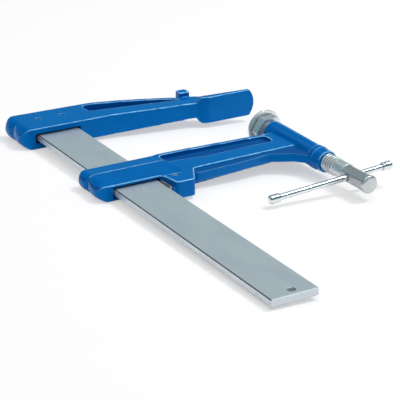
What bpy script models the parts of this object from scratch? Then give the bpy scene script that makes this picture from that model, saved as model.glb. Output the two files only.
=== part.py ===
# Bar clamp: a flat bar, a fixed jaw pinned on its end and a sliding jaw that carries a spindle.
# Metres, +Z up. The origin lies on the fixed jaw's clamping face, where the spindle's axis meets it.
# +Y is the way the spindle presses and +X points away from the bar.

from math import asin, ceil, cos, pi, radians, sin, sqrt, tan

import bmesh
import bpy
from mathutils import Matrix, Vector

# Clearances and the overrun that all cuts share
FIT = 0.0003
OVERRUN = 0.002

# How outlines and meshes are drawn
ARC_STEP = radians(15)
CORNER_RUN_SHARE = 0.48
WELD_DISTANCE = 0.000006
FLAT_ANGLE = radians(0.2)

# Flat bar
BAR_WIDTH = 0.050
BAR_THICKNESS = 0.008
BAR_LENGTH = 0.526
BAR_END_INSET = 0.002
BAR_CHAMFER = 0.0006
HOLE_RADIUS = 0.0036
HOLE_RIM_RADIUS = 0.0054
HOLE_FROM_END = 0.0090
HOLE_OFFSET = 0.0015
THROAT_DEPTH = 0.186

# Fixed jaw, behind its clamping face
FIXED_HOUSING_SETBACK = 0.013
FIXED_HOUSING_DEPTH = 0.055
FIXED_HALF_HEIGHT = 0.012
FIXED_ARM_END_HALF_HEIGHT = 0.0093
FIXED_TIP_HALF_HEIGHT = 0.0070
FIXED_END_WALL = 0.0166
FIXED_SLOT_OUTER_GAP = 0.004
FIXED_SLOT_INNER_GAP = 0.002
FIXED_SLOT_TOP_GAP = 0.001
FIXED_END_ROUNDING = 0.0115
FIXED_EDGE_ROUNDING = 0.003
FIXED_WEB_HALF = 0.003
ANVIL_HALF_HEIGHT = 0.0163
ANVIL_INNER_REACH = 0.030
ANVIL_OUTER_REACH = 0.0404
ANVIL_ROOT_THICKNESS = 0.010
ANVIL_TIP_THICKNESS = 0.004
ANVIL_EDGE_ROUNDING = 0.0012
RIB_DEPTH = 0.031
ANVIL_TIP_BULGE = 0.0065
ANVIL_CORNER = 0.003
ANVIL_FLARE = 0.0065
LUG_LENGTH = 0.0140
LUG_DEPTH = 0.0130
LUG_HALF_HEIGHT = 0.0152
FIXED_PIN_RADIUS = 0.0028
FIXED_PIN_RECESS = 0.0006
FIXED_PIN_SETBACK = 0.024
FIXED_PIN_OUTER_OFFSET = -0.011
FIXED_PIN_INNER_OFFSET = 0.018

# Sliding jaw, in front of its far face
SLIDING_BACK = 0.1165
SLIDING_HOUSING_DEPTH = 0.055
SLIDING_HALF_HEIGHT = 0.0095
SLIDING_ARM_END_HALF_HEIGHT = 0.0070
SLIDING_END_WALL = 0.0165
SLIDING_SLOT_SIDE_GAP = 0.002
SLIDING_SLOT_TOP_GAP = 0.0004
SLOT_MOUTH_GAP = 0.002
SLOT_MOUTH_DEPTH = 0.004
SLIDING_END_ROUNDING = 0.0090
SLIDING_EDGE_ROUNDING = 0.002
SLIDING_FLANGE = 0.0052
SLIDING_WEB_HALF = 0.0024
LEDGE_HALF = 0.0053
LEDGE_ROUNDING = 0.0010
FOOT_LENGTH = 0.0265
FOOT_INNER_GAP = 0.003
FOOT_HOLLOW = 0.0028
FOOT_HOLLOW_SHARE = 0.55
FOOT_LEAN = 0.0045
FOOT_WIDTH = 0.0210
FOOT_SLANT = 0.0140
BARREL_FRONT_RADIUS = 0.0140
BARREL_WAIST_RADIUS = 0.0125
BARREL_FRONT_REACH = 0.0135
BARREL_WAIST_BACK = 0.0715
RING_RADIUS = 0.0132
RING_LENGTH = 0.0100
NOSE_RADIUS = 0.0123
NOSE_LENGTH = 0.0120
BARREL_EDGE = 0.0010
THREADED_BORE_LENGTH = 0.028

# Grip insert and its pin, in the foot
GRIP_DEPTH = 0.0205
GRIP_LENGTH = 0.0205
GRIP_PLATE = 0.0024
GRIP_PLATE_HALF_HEIGHT = 0.0050
GRIP_TONGUE_HALF_HEIGHT = 0.0022
GRIP_EDGE = 0.0005
GRIP_PIN_RADIUS = 0.0020
GRIP_PIN_INSET = 0.0045
GRIP_PIN_BACK = 0.0065
GRIP_PIN_RECESS = 0.0004
PIN_STEPS = 24

# Spindle: Tr20 x 4, right hand
THREAD_RADIUS = 0.010
THREAD_PITCH = 0.004
THREAD_DEPTH = 0.00225
THREAD_CREST_SHARE = 0.366
THREAD_FLANK_ANGLE = radians(15)
THREAD_STEPS = 20
SPARE_TURNS = 2
THREAD_END_GAP = 0.0015
THREAD_BEHIND_NOSE = 0.020
THREAD_RADIAL_FIT = 0.00035
SHANK_RADIUS = 0.0096
SHANK_LENGTH = 0.016
HEAD_ACROSS_FLATS = 0.017
HEAD_LENGTH = 0.0355
HEAD_DISC_RADIUS = 0.0098
HEAD_DISC_LENGTH = 0.005
HEAD_DISC_EDGE = 0.0008
CROSS_HOLE_RADIUS = 0.0038
CROSS_HOLE_BACK = 0.009
NECK_RADIUS = 0.004
BALL_RADIUS = 0.0058
BALL_STEPS = 6
ROUND_STEPS = 32

# Tommy bar, measured along its own axis from the spindle's axis
TOMMY_RADIUS = 0.00325
TOMMY_LONG_SIDE = 0.1045
TOMMY_SHORT_SIDE = 0.0505
TOMMY_TILT = radians(3.2)
TOMMY_END_RADIUS = 0.0048
TOMMY_END_LENGTH = 0.013
TOMMY_END_WALL = 0.0016
TOMMY_END_TAPER = 0.004
TOMMY_STEPS = 20

# Swivel pad and the ball cup inside it
PAD_RADIUS = 0.0215
PAD_RIM_THICKNESS = 0.003
PAD_NECK_LENGTH = 0.012
PAD_NECK_ACROSS_FLATS = 0.032
PAD_FLOOR = 0.002
PAD_EDGE = 0.0006
PAD_BACK_GAP = 0.0045
CUP_THICKNESS = 0.0015
CUP_FRONT_ANGLE = radians(25)
CUP_BACK_CLEARANCE = 0.0005
PAD_STEPS = 32

# Shares of the throat's depth (across) and of the housing's depth (along)
FIXED_NEAR_EDGE_SHARES = ((0.24, 0.0), (0.495, -0.055), (0.79, -0.105))
FIXED_FAR_EDGE_SHARES = ((0.753, 0.436), (0.591, 0.636), (0.409, 0.818), (0.215, 0.960), (-0.27, 1.0))
FIXED_GROOVE_NEAR_SHARES = ((0.134, 0.452), (0.543, 0.330), (0.747, 0.262))
FIXED_GROOVE_FAR_SHARES = ((0.742, 0.322), (0.591, 0.520), (0.409, 0.704), (0.215, 0.846), (0.134, 0.854))
FIXED_TAPER_SHARES = (0.24, 0.823)
LUG_START_SHARE = 0.768
LUG_BACK_SHARE = 0.36
BULGE_SHARES = (-0.6, -0.2, 0.2, 0.6)
SLIDING_NEAR_EDGE_SHARES = ((0.543, -0.918), (0.890, -0.845))
SLIDING_GROOVE_NEAR_SHARES = ((0.145, -0.464), (0.403, -0.540), (0.871, -0.430))
SLIDING_LEDGE_SHARES = ((0.19, -0.98), (0.242, -1.082), (0.527, -1.036), (0.750, -0.936), (0.876, -1.155))
SLIDING_TAPER_SHARES = (0.24, 0.887)
GROOVE_START_SHARE = 0.145
GROOVE_END_SHARE = 0.871
CREASE_SHARE = 0.43
CREASE_DEPTH = 0.0022
CREASE_HALF_WIDTH = 0.0055

# Roundings of the outlines
CORNER_SMALL = 0.003
CORNER_MIDDLE = 0.005
CORNER_LARGE = 0.012
BEND = 0.060
GROOVE_CORNER = 0.006
GROOVE_FILLET = 0.002

# Places that follow from the sizes
BAR_X = -(THROAT_DEPTH + BAR_WIDTH / 2)
BAR_EDGE_X = -THROAT_DEPTH
BAR_OUTER_EDGE_X = BAR_EDGE_X - BAR_WIDTH
FIXED_BACK_Y = FIXED_HOUSING_SETBACK + FIXED_HOUSING_DEPTH
BAR_FAR_Y = FIXED_BACK_Y - BAR_END_INSET
BAR_NEAR_Y = BAR_FAR_Y - BAR_LENGTH
SLIDING_FACE_Y = -SLIDING_BACK
SLIDING_NEAR_Y = SLIDING_FACE_Y - SLIDING_HOUSING_DEPTH
GRIP_FAR_Y = SLIDING_NEAR_Y - CORNER_SMALL
BARREL_FRONT_Y = SLIDING_FACE_Y + BARREL_FRONT_REACH
BARREL_WAIST_Y = SLIDING_FACE_Y - BARREL_WAIST_BACK
RING_END_Y = BARREL_WAIST_Y - RING_LENGTH
NOSE_END_Y = RING_END_Y - NOSE_LENGTH
THREAD_FRONT_Y = BARREL_FRONT_Y + THREAD_END_GAP
THREAD_END_Y = NOSE_END_Y - THREAD_BEHIND_NOSE
SHANK_END_Y = THREAD_END_Y - SHANK_LENGTH
TOMMY_Y = SHANK_END_Y - CROSS_HOLE_BACK
HEAD_END_Y = SHANK_END_Y - HEAD_LENGTH
DISC_END_Y = HEAD_END_Y - HEAD_DISC_LENGTH
PAD_BACK_Y = BARREL_FRONT_Y + PAD_BACK_GAP
PAD_FLANGE_Y = PAD_BACK_Y + PAD_NECK_LENGTH
PAD_FACE_Y = PAD_FLANGE_Y + PAD_RIM_THICKNESS
SOCKET_RADIUS = BALL_RADIUS + CUP_THICKNESS + 2 * FIT
BALL_Y = PAD_FACE_Y - PAD_FLOOR - SOCKET_RADIUS
TOMMY_AXIS = Vector((cos(TOMMY_TILT), 0, sin(TOMMY_TILT)))

# Local X, Y and Z of a prism drawn flat, as seen from the side and as seen from the end
PLAN = Matrix.Identity(4)
SIDE = Matrix(((1, 0, 0, 0), (0, 0, -1, 0), (0, 1, 0, 0), (0, 0, 0, 1)))
END = Matrix(((0, 0, 1, 0), (1, 0, 0, 0), (0, 1, 0, 0), (0, 0, 0, 1)))

BLUE = (0.004, 0.107, 0.400)
BRIGHT_STEEL = (0.62, 0.64, 0.66)
SATIN_STEEL = (0.45, 0.47, 0.49)
HARD_STEEL = (0.33, 0.30, 0.26)


def clear_scene():
    for item in list(bpy.data.objects):
        bpy.data.objects.remove(item, do_unlink=True)
    for item in list(bpy.data.collections):
        bpy.data.collections.remove(item)


def make_collection(name):
    group = bpy.data.collections.new(name)
    bpy.context.scene.collection.children.link(group)
    return group


def make_material(name, colour, metallic, roughness):
    material = bpy.data.materials.new(name)
    material.use_nodes = True
    shader = material.node_tree.nodes["Principled BSDF"]
    shader.inputs["Base Color"].default_value = (*colour, 1)
    shader.inputs["Metallic"].default_value = metallic
    shader.inputs["Roughness"].default_value = roughness
    material.diffuse_color = (*colour, 1)
    return material


def rounded(corners):
    """Points of a closed outline whose corners (x, y, radius) are turned into arcs."""
    points = []
    for index, (x, y, radius) in enumerate(corners):
        corner = Vector((x, y))
        before = Vector(corners[index - 1][:2]) - corner
        after = Vector(corners[(index + 1) % len(corners)][:2]) - corner
        half = before.angle(after) / 2
        run = min(radius / tan(half), before.length * CORNER_RUN_SHARE,
                  after.length * CORNER_RUN_SHARE)
        if run <= 0:
            points.append(corner)
            continue
        centre = corner + (before.normalized() + after.normalized()).normalized() * run / cos(half)
        start = corner + before.normalized() * run - centre
        end = corner + after.normalized() * run - centre
        sweep = start.angle_signed(end)
        count = max(1, ceil(abs(sweep) / ARC_STEP))
        for step in range(count + 1):
            points.append(centre + Matrix.Rotation(-sweep * step / count, 2) @ start)
    return points


def evaluated_mesh(item):
    bpy.context.view_layer.update()
    graph = bpy.context.evaluated_depsgraph_get()
    return bpy.data.meshes.new_from_object(item.evaluated_get(graph), depsgraph=graph)


def add_object(name, mesh, group):
    mesh.name = name
    item = bpy.data.objects.new(name, mesh)
    group.objects.link(item)
    if group == cutters:
        item.hide_render = True
        item.display_type = "WIRE"
    return item


def tidy_mesh(mesh):
    """Weld a mesh, merge its coplanar faces and turn its faces outward."""
    work = bmesh.new()
    work.from_mesh(mesh)
    bmesh.ops.remove_doubles(work, verts=work.verts, dist=WELD_DISTANCE)
    bmesh.ops.dissolve_limit(work, angle_limit=FLAT_ANGLE, verts=work.verts, edges=work.edges)
    bmesh.ops.recalc_face_normals(work, faces=work.faces)
    work.to_mesh(mesh)
    work.free()


def prism(name, corners, low, high, group, frame=PLAN):
    """A flat outline extruded from low to high along the frame's third axis."""
    curve = bpy.data.curves.new(name, "CURVE")
    curve.dimensions = "2D"
    curve.fill_mode = "BOTH"
    curve.extrude = (high - low) / 2
    points = rounded(corners)
    spline = curve.splines.new("POLY")
    spline.points.add(len(points) - 1)
    for slot, point in zip(spline.points, points):
        slot.co = (point.x, point.y, 0, 1)
    spline.use_cyclic_u = True
    outline = bpy.data.objects.new(name, curve)
    group.objects.link(outline)
    mesh = evaluated_mesh(outline)
    bpy.data.objects.remove(outline, do_unlink=True)
    mesh.transform(frame @ Matrix.Translation((0, 0, (low + high) / 2)))
    tidy_mesh(mesh)
    return add_object(name, mesh, group)


def screwed(name, profile, group, steps, rise=0.0, turns=1):
    """A profile of (radius, y) points swept round the Y axis, in a helix where it rises."""
    mesh = bpy.data.meshes.new(name)
    edges = [(index, index + 1) for index in range(len(profile) - 1)]
    mesh.from_pydata([(radius, along, 0) for radius, along in profile], edges, [])
    item = add_object(name, mesh, group)
    sweep = item.modifiers.new("sweep", "SCREW")
    sweep.axis = "Y"
    sweep.steps = steps
    sweep.render_steps = steps
    sweep.screw_offset = rise
    sweep.iterations = turns
    sweep.use_merge_vertices = True
    sweep.merge_threshold = WELD_DISTANCE
    swept = evaluated_mesh(item)
    bpy.data.objects.remove(item, do_unlink=True)
    return swept


def turned(name, profile, group, steps=ROUND_STEPS, centre=(0, 0, 0)):
    """A solid of revolution round a line through centre, along Y."""
    mesh = screwed(name, profile, group, steps)
    mesh.transform(Matrix.Translation(centre))
    work = bmesh.new()
    work.from_mesh(mesh)
    bmesh.ops.remove_doubles(work, verts=work.verts, dist=WELD_DISTANCE)
    bmesh.ops.recalc_face_normals(work, faces=work.faces)
    work.to_mesh(mesh)
    work.free()
    return add_object(name, mesh, group)


def box(name, low, high, group):
    mesh = bpy.data.meshes.new(name)
    work = bmesh.new()
    size = Vector(high) - Vector(low)
    centre = (Vector(high) + Vector(low)) / 2
    place = Matrix.Translation(centre) @ Matrix.Diagonal((*size, 1))
    bmesh.ops.create_cube(work, size=1, matrix=place)
    work.to_mesh(mesh)
    work.free()
    return add_object(name, mesh, group)


def rod(name, radius, start, end, group, steps=ROUND_STEPS, end_radius=None):
    """A straight round rod or cone between two points."""
    mesh = bpy.data.meshes.new(name)
    work = bmesh.new()
    start, end = Vector(start), Vector(end)
    turn = (end - start).to_track_quat("Z", "Y").to_matrix().to_4x4()
    place = Matrix.Translation((start + end) / 2) @ turn
    far_radius = radius if end_radius is None else end_radius
    bmesh.ops.create_cone(work, cap_ends=True, segments=steps, radius1=radius, radius2=far_radius,
                          depth=(end - start).length, matrix=place)
    work.to_mesh(mesh)
    work.free()
    return add_object(name, mesh, group)


def combine(target, tool, operation):
    change = target.modifiers.new(tool.name, "BOOLEAN")
    change.operation = operation
    change.object = tool
    change.solver = "EXACT"


def round_edges(target, width, segments=3, angle=radians(30)):
    rounding = target.modifiers.new("rounding", "BEVEL")
    rounding.width = width
    rounding.segments = segments
    rounding.limit_method = "ANGLE"
    rounding.angle_limit = angle


def across(share):
    """X of a share of the throat's depth, measured from the bar's inner edge."""
    return BAR_EDGE_X + share * THROAT_DEPTH


def fixed_at(share, back_share):
    return across(share), FIXED_HOUSING_SETBACK + back_share * FIXED_HOUSING_DEPTH


def sliding_at(share, back_share):
    return across(share), SLIDING_FACE_Y + back_share * SLIDING_HOUSING_DEPTH


def two_sided_grooves(jaw, corners, web_half, half_height):
    """Cut the same groove into the jaw's upper and lower side."""
    top = half_height + OVERRUN
    for side, low, high in (("top", web_half, top), ("bottom", -top, -web_half)):
        groove = prism(f"{jaw.name}_groove_{side}", corners, low, high, cutters)
        round_edges(groove, GROOVE_FILLET, 2)
        combine(jaw, groove, "DIFFERENCE")


def creased_end(end_x, near_y, far_y, near_corner, far_corner):
    """The housing's outer end: two lobes with a shallow crease between them, far side first."""
    crease_y = far_y + (near_y - far_y) * CREASE_SHARE
    return [
        (end_x, far_y, far_corner),
        (end_x, crease_y + CREASE_HALF_WIDTH, CORNER_MIDDLE),
        (end_x + CREASE_DEPTH, crease_y, CORNER_MIDDLE),
        (end_x, crease_y - CREASE_HALF_WIDTH, CORNER_MIDDLE),
        (end_x, near_y, near_corner),
    ]


def make_bar():
    low = (BAR_OUTER_EDGE_X, BAR_NEAR_Y, -BAR_THICKNESS / 2)
    high = (BAR_EDGE_X, BAR_FAR_Y, BAR_THICKNESS / 2)
    bar = box("bar", low, high, parts)
    round_edges(bar, BAR_CHAMFER, 1)
    hole_x = BAR_X + HOLE_OFFSET
    hole_y = BAR_NEAR_Y + HOLE_FROM_END
    reach = BAR_THICKNESS / 2 + OVERRUN
    hole = rod("bar_hole", HOLE_RADIUS, (hole_x, hole_y, -reach), (hole_x, hole_y, reach), cutters)
    combine(bar, hole, "DIFFERENCE")
    sink = HOLE_RIM_RADIUS - HOLE_RADIUS
    for side in (-1, 1):
        floor = (hole_x, hole_y, side * (BAR_THICKNESS / 2 - sink))
        mouth = (hole_x, hole_y, side * (BAR_THICKNESS / 2 + sink))
        cone = rod(f"bar_countersink_{side}", HOLE_RADIUS, floor, mouth, cutters,
                   end_radius=HOLE_RIM_RADIUS + sink)
        combine(bar, cone, "DIFFERENCE")
    for name, pin_x, pin_y in fixed_pin_places():
        hole = rod(f"{name}_bar_hole", FIXED_PIN_RADIUS + FIT, (pin_x, pin_y, -reach), (pin_x, pin_y, reach),
                   cutters, steps=PIN_STEPS)
        combine(bar, hole, "DIFFERENCE")
    return bar


def fixed_pin_places():
    pin_y = FIXED_BACK_Y - FIXED_PIN_SETBACK
    return (("fixed_jaw_pin_outer", BAR_X + FIXED_PIN_OUTER_OFFSET, pin_y),
            ("fixed_jaw_pin_inner", BAR_X + FIXED_PIN_INNER_OFFSET, pin_y))


def make_fixed_jaw():
    end_x = BAR_OUTER_EDGE_X - FIXED_SLOT_OUTER_GAP - FIXED_END_WALL
    near_edge = [(*fixed_at(*shares), BEND) for shares in FIXED_NEAR_EDGE_SHARES]
    far_edge = [(*fixed_at(*shares), BEND) for shares in FIXED_FAR_EDGE_SHARES]
    outline = creased_end(end_x, FIXED_HOUSING_SETBACK, FIXED_BACK_Y, CORNER_LARGE, CORNER_LARGE)
    outline += near_edge
    outline += [
        (-ANVIL_INNER_REACH + CORNER_LARGE, ANVIL_TIP_THICKNESS / 2, CORNER_LARGE),
        (ANVIL_OUTER_REACH - ANVIL_TIP_THICKNESS, ANVIL_TIP_THICKNESS / 2, 0),
        (ANVIL_OUTER_REACH - 2 * ANVIL_TIP_THICKNESS, 2 * ANVIL_TIP_THICKNESS, CORNER_SMALL),
        (-ANVIL_INNER_REACH + CORNER_MIDDLE, RIB_DEPTH, CORNER_LARGE),
    ]
    outline += far_edge
    jaw = prism("fixed_jaw", outline, -ANVIL_HALF_HEIGHT, ANVIL_HALF_HEIGHT, parts)
    combine(jaw, fixed_jaw_taper(end_x), "INTERSECT")
    round_edges(jaw, FIXED_EDGE_ROUNDING)
    combine(jaw, anvil_plate(), "UNION")
    combine(jaw, fixed_jaw_lug(), "UNION")
    groove = [(*fixed_at(*shares), GROOVE_CORNER) for shares in FIXED_GROOVE_NEAR_SHARES]
    groove += [(*fixed_at(*shares), GROOVE_CORNER) for shares in FIXED_GROOVE_FAR_SHARES]
    two_sided_grooves(jaw, groove, FIXED_WEB_HALF, FIXED_HALF_HEIGHT)
    slot_half = BAR_THICKNESS / 2 + FIXED_SLOT_TOP_GAP
    slot = box("fixed_jaw_slot",
               (BAR_OUTER_EDGE_X - FIXED_SLOT_OUTER_GAP, FIXED_HOUSING_SETBACK - OVERRUN, -slot_half),
               (BAR_EDGE_X + FIXED_SLOT_INNER_GAP, FIXED_BACK_Y + OVERRUN, slot_half), cutters)
    combine(jaw, slot, "DIFFERENCE")
    reach = FIXED_HALF_HEIGHT + OVERRUN
    for name, pin_x, pin_y in fixed_pin_places():
        hole = rod(f"{name}_jaw_hole", FIXED_PIN_RADIUS + FIT, (pin_x, pin_y, -reach), (pin_x, pin_y, reach),
                   cutters, steps=PIN_STEPS)
        combine(jaw, hole, "DIFFERENCE")
    return jaw


def fixed_jaw_taper(end_x):
    """Side view of the fixed jaw, thinner toward the anvil's tip."""
    start, end = FIXED_TAPER_SHARES
    half = [
        (end_x, FIXED_HALF_HEIGHT, FIXED_END_ROUNDING),
        (across(start), FIXED_HALF_HEIGHT, BEND),
        (across(end), FIXED_ARM_END_HALF_HEIGHT, BEND),
        (ANVIL_OUTER_REACH + OVERRUN, FIXED_TIP_HALF_HEIGHT, 0),
    ]
    corners = [(x, -z, r) for x, z, r in half] + [(x, z, r) for x, z, r in reversed(half)]
    return prism("fixed_jaw_taper", corners, -FIXED_BACK_Y - OVERRUN, OVERRUN, cutters, SIDE)


def anvil_plate():
    root_x = -ANVIL_INNER_REACH
    tip_x = ANVIL_OUTER_REACH
    ramp_end_x, ramp_end_y = fixed_at(*FIXED_NEAR_EDGE_SHARES[-1])
    corners = [
        (ramp_end_x, ramp_end_y + ANVIL_EDGE_ROUNDING, 0),
        (ramp_end_x + CORNER_SMALL, ramp_end_y, CORNER_LARGE),
        (root_x + CORNER_MIDDLE, 0, CORNER_LARGE),
        (tip_x + OVERRUN, 0, 0),
        (tip_x + OVERRUN, ANVIL_TIP_THICKNESS, 0),
        (root_x - CORNER_MIDDLE, ANVIL_ROOT_THICKNESS, CORNER_SMALL),
        (ramp_end_x, ANVIL_ROOT_THICKNESS + CORNER_SMALL, 0),
    ]
    reach = ANVIL_HALF_HEIGHT + OVERRUN
    plate = prism("anvil_plate", corners, -reach, reach, cutters)
    combine(plate, anvil_face(), "INTERSECT")
    round_edges(plate, ANVIL_EDGE_ROUNDING, 2)
    return plate


def anvil_face():
    """The anvil seen along the spindle: straight sides and an outward curved end."""
    end_x = ANVIL_OUTER_REACH - ANVIL_TIP_BULGE
    radius = (ANVIL_HALF_HEIGHT ** 2 + ANVIL_TIP_BULGE ** 2) / (2 * ANVIL_TIP_BULGE)
    flare_x = -ANVIL_INNER_REACH - ANVIL_FLARE
    neck_x = across(FIXED_NEAR_EDGE_SHARES[-1][0]) - OVERRUN
    neck = FIXED_ARM_END_HALF_HEIGHT - FIXED_EDGE_ROUNDING / 2
    corners = [
        (-ANVIL_INNER_REACH, ANVIL_HALF_HEIGHT, ANVIL_CORNER),
        (flare_x, neck, CORNER_MIDDLE),
        (neck_x, neck, 0),
        (neck_x, -neck, 0),
        (flare_x, -neck, CORNER_MIDDLE),
        (-ANVIL_INNER_REACH, -ANVIL_HALF_HEIGHT, ANVIL_CORNER),
        (end_x, -ANVIL_HALF_HEIGHT, ANVIL_CORNER),
    ]
    half_sweep = asin(ANVIL_HALF_HEIGHT / radius)
    for share in BULGE_SHARES:
        angle = share * half_sweep
        corners.append((ANVIL_OUTER_REACH - radius + radius * cos(angle), radius * sin(angle), BEND))
    corners.append((end_x, ANVIL_HALF_HEIGHT, ANVIL_CORNER))
    low = -ANVIL_ROOT_THICKNESS - CORNER_MIDDLE
    return prism("anvil_face", corners, low, OVERRUN, cutters, SIDE)


def fixed_jaw_lug():
    start_x, start_y = fixed_at(LUG_START_SHARE, LUG_BACK_SHARE)
    corners = [
        (start_x, start_y, CORNER_SMALL),
        (start_x + LUG_LENGTH, start_y, CORNER_SMALL),
        (start_x + LUG_LENGTH, start_y + LUG_DEPTH, CORNER_SMALL),
        (start_x, start_y + LUG_DEPTH, CORNER_SMALL),
    ]
    lug = prism("fixed_jaw_lug", corners, -LUG_HALF_HEIGHT, LUG_HALF_HEIGHT, cutters)
    round_edges(lug, CORNER_SMALL / 2, 2)
    return lug


def make_fixed_pins():
    half = FIXED_HALF_HEIGHT - FIXED_PIN_RECESS
    pins = []
    for name, pin_x, pin_y in fixed_pin_places():
        pin = rod(name, FIXED_PIN_RADIUS, (pin_x, pin_y, -half), (pin_x, pin_y, half), parts, steps=PIN_STEPS)
        round_edges(pin, GRIP_EDGE, 1)
        pins.append(pin)
    return pins


def make_sliding_jaw():
    end_x = BAR_OUTER_EDGE_X - SLIDING_SLOT_SIDE_GAP - SLIDING_END_WALL
    foot_x = BAR_EDGE_X + FOOT_INNER_GAP
    foot_y = SLIDING_NEAR_Y - FOOT_LENGTH
    outline = creased_end(end_x, SLIDING_NEAR_Y, SLIDING_FACE_Y, CORNER_LARGE, CORNER_LARGE)
    outline += [
        (foot_x, SLIDING_NEAR_Y, CORNER_SMALL),
        (foot_x + FOOT_HOLLOW, SLIDING_NEAR_Y - FOOT_HOLLOW_SHARE * FOOT_LENGTH, CORNER_LARGE),
        (foot_x + FOOT_LEAN, foot_y, CORNER_SMALL),
        (foot_x + FOOT_LEAN + FOOT_WIDTH, foot_y, CORNER_SMALL),
        (foot_x + FOOT_LEAN + FOOT_WIDTH + FOOT_SLANT, SLIDING_NEAR_Y, CORNER_SMALL),
    ]
    outline += [(*sliding_at(*shares), BEND) for shares in SLIDING_NEAR_EDGE_SHARES]
    outline += [(-THREAD_RADIUS, sliding_at(0, SLIDING_NEAR_EDGE_SHARES[-1][1])[1], 0),
                (-THREAD_RADIUS, SLIDING_FACE_Y, 0)]
    reach = SLIDING_HALF_HEIGHT + OVERRUN
    jaw = prism("sliding_jaw", outline, -reach, reach, parts)
    combine(jaw, sliding_jaw_taper(end_x), "INTERSECT")
    round_edges(jaw, SLIDING_EDGE_ROUNDING)
    combine(jaw, sliding_jaw_ledge(), "UNION")
    flange_y = SLIDING_FACE_Y - SLIDING_FLANGE
    groove = [(*sliding_at(*shares), GROOVE_CORNER) for shares in SLIDING_GROOVE_NEAR_SHARES]
    groove += [(across(GROOVE_END_SHARE), flange_y, GROOVE_CORNER),
               (across(GROOVE_START_SHARE), flange_y, GROOVE_CORNER)]
    two_sided_grooves(jaw, groove, SLIDING_WEB_HALF, SLIDING_HALF_HEIGHT)
    combine(jaw, barrel(), "UNION")
    combine(jaw, bar_slot(), "DIFFERENCE")
    combine(jaw, spindle_bore(), "DIFFERENCE")
    combine(jaw, threaded_bore(), "DIFFERENCE")
    pocket = box("grip_pocket",
                 (BAR_EDGE_X, GRIP_FAR_Y - GRIP_LENGTH, -GRIP_TONGUE_HALF_HEIGHT - FIT),
                 (BAR_EDGE_X + FIT + GRIP_DEPTH + FIT, SLIDING_NEAR_Y, GRIP_TONGUE_HALF_HEIGHT + FIT),
                 cutters)
    combine(jaw, pocket, "DIFFERENCE")
    pin_x, pin_y = grip_pin_place()
    hole = rod("grip_pin_hole", GRIP_PIN_RADIUS + FIT, (pin_x, pin_y, -reach), (pin_x, pin_y, reach),
               cutters, steps=PIN_STEPS)
    combine(jaw, hole, "DIFFERENCE")
    return jaw


def sliding_jaw_taper(end_x):
    """Side view of the sliding jaw, thinner toward the barrel."""
    start, end = SLIDING_TAPER_SHARES
    half = [
        (end_x, SLIDING_HALF_HEIGHT, SLIDING_END_ROUNDING),
        (across(start), SLIDING_HALF_HEIGHT, BEND),
        (across(end), SLIDING_ARM_END_HALF_HEIGHT, BEND),
        (THREAD_RADIUS, SLIDING_ARM_END_HALF_HEIGHT, 0),
    ]
    corners = [(x, -z, r) for x, z, r in half] + [(x, z, r) for x, z, r in reversed(half)]
    low = -SLIDING_FACE_Y - OVERRUN
    high = -SLIDING_NEAR_Y + FOOT_LENGTH + OVERRUN
    return prism("sliding_jaw_taper", corners, low, high, cutters, SIDE)


def sliding_jaw_ledge():
    """Thin flange along the arm's near edge, which runs on as the gusset under the barrel."""
    corners = [(*sliding_at(*shares), CORNER_MIDDLE) for shares in SLIDING_LEDGE_SHARES]
    corners += [
        (-NOSE_RADIUS, RING_END_Y + RING_LENGTH / 2, CORNER_SMALL),
        (0, RING_END_Y + RING_LENGTH / 2, 0),
        (0, (SLIDING_FACE_Y + SLIDING_NEAR_Y) / 2, 0),
        (across(SLIDING_LEDGE_SHARES[0][0]), (SLIDING_FACE_Y + SLIDING_NEAR_Y) / 2 - SLIDING_FLANGE, 0),
    ]
    ledge = prism("sliding_jaw_ledge", corners, -LEDGE_HALF, LEDGE_HALF, cutters)
    round_edges(ledge, LEDGE_ROUNDING, 2)
    return ledge


def barrel():
    profile = [
        (0, NOSE_END_Y),
        (NOSE_RADIUS - BARREL_EDGE, NOSE_END_Y),
        (NOSE_RADIUS, NOSE_END_Y + BARREL_EDGE),
        (NOSE_RADIUS, RING_END_Y),
        (RING_RADIUS - BARREL_EDGE, RING_END_Y),
        (RING_RADIUS, RING_END_Y + BARREL_EDGE),
        (RING_RADIUS, BARREL_WAIST_Y - BARREL_EDGE),
        (BARREL_WAIST_RADIUS, BARREL_WAIST_Y),
        (BARREL_FRONT_RADIUS, SLIDING_FACE_Y),
        (BARREL_FRONT_RADIUS, BARREL_FRONT_Y - BARREL_EDGE),
        (BARREL_FRONT_RADIUS - BARREL_EDGE, BARREL_FRONT_Y),
        (0, BARREL_FRONT_Y),
    ]
    return turned("barrel", profile, cutters)


def bar_slot():
    """Slot for the bar, with flared mouths on both faces of the housing."""
    half = BAR_THICKNESS / 2 + SLIDING_SLOT_TOP_GAP
    mouth = BAR_THICKNESS / 2 + SLOT_MOUTH_GAP
    near, far = SLIDING_NEAR_Y, SLIDING_FACE_Y
    upper = [
        (near - OVERRUN, mouth),
        (near, mouth),
        (near + SLOT_MOUTH_DEPTH, half),
        (far - SLOT_MOUTH_DEPTH, half),
        (far, mouth),
        (far + OVERRUN, mouth),
    ]
    corners = [(y, -z, 0) for y, z in upper] + [(y, z, 0) for y, z in reversed(upper)]
    return prism("sliding_jaw_slot", corners, BAR_OUTER_EDGE_X - SLIDING_SLOT_SIDE_GAP,
                 BAR_EDGE_X + SLIDING_SLOT_SIDE_GAP, cutters, END)


def spindle_bore():
    """Plain bore that clears the thread, from the barrel's front to its threaded length."""
    clear = THREAD_RADIUS + 2 * THREAD_RADIAL_FIT
    return rod("spindle_bore", clear, (0, NOSE_END_Y + THREADED_BORE_LENGTH, 0),
               (0, BARREL_FRONT_Y + OVERRUN, 0), cutters)


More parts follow.
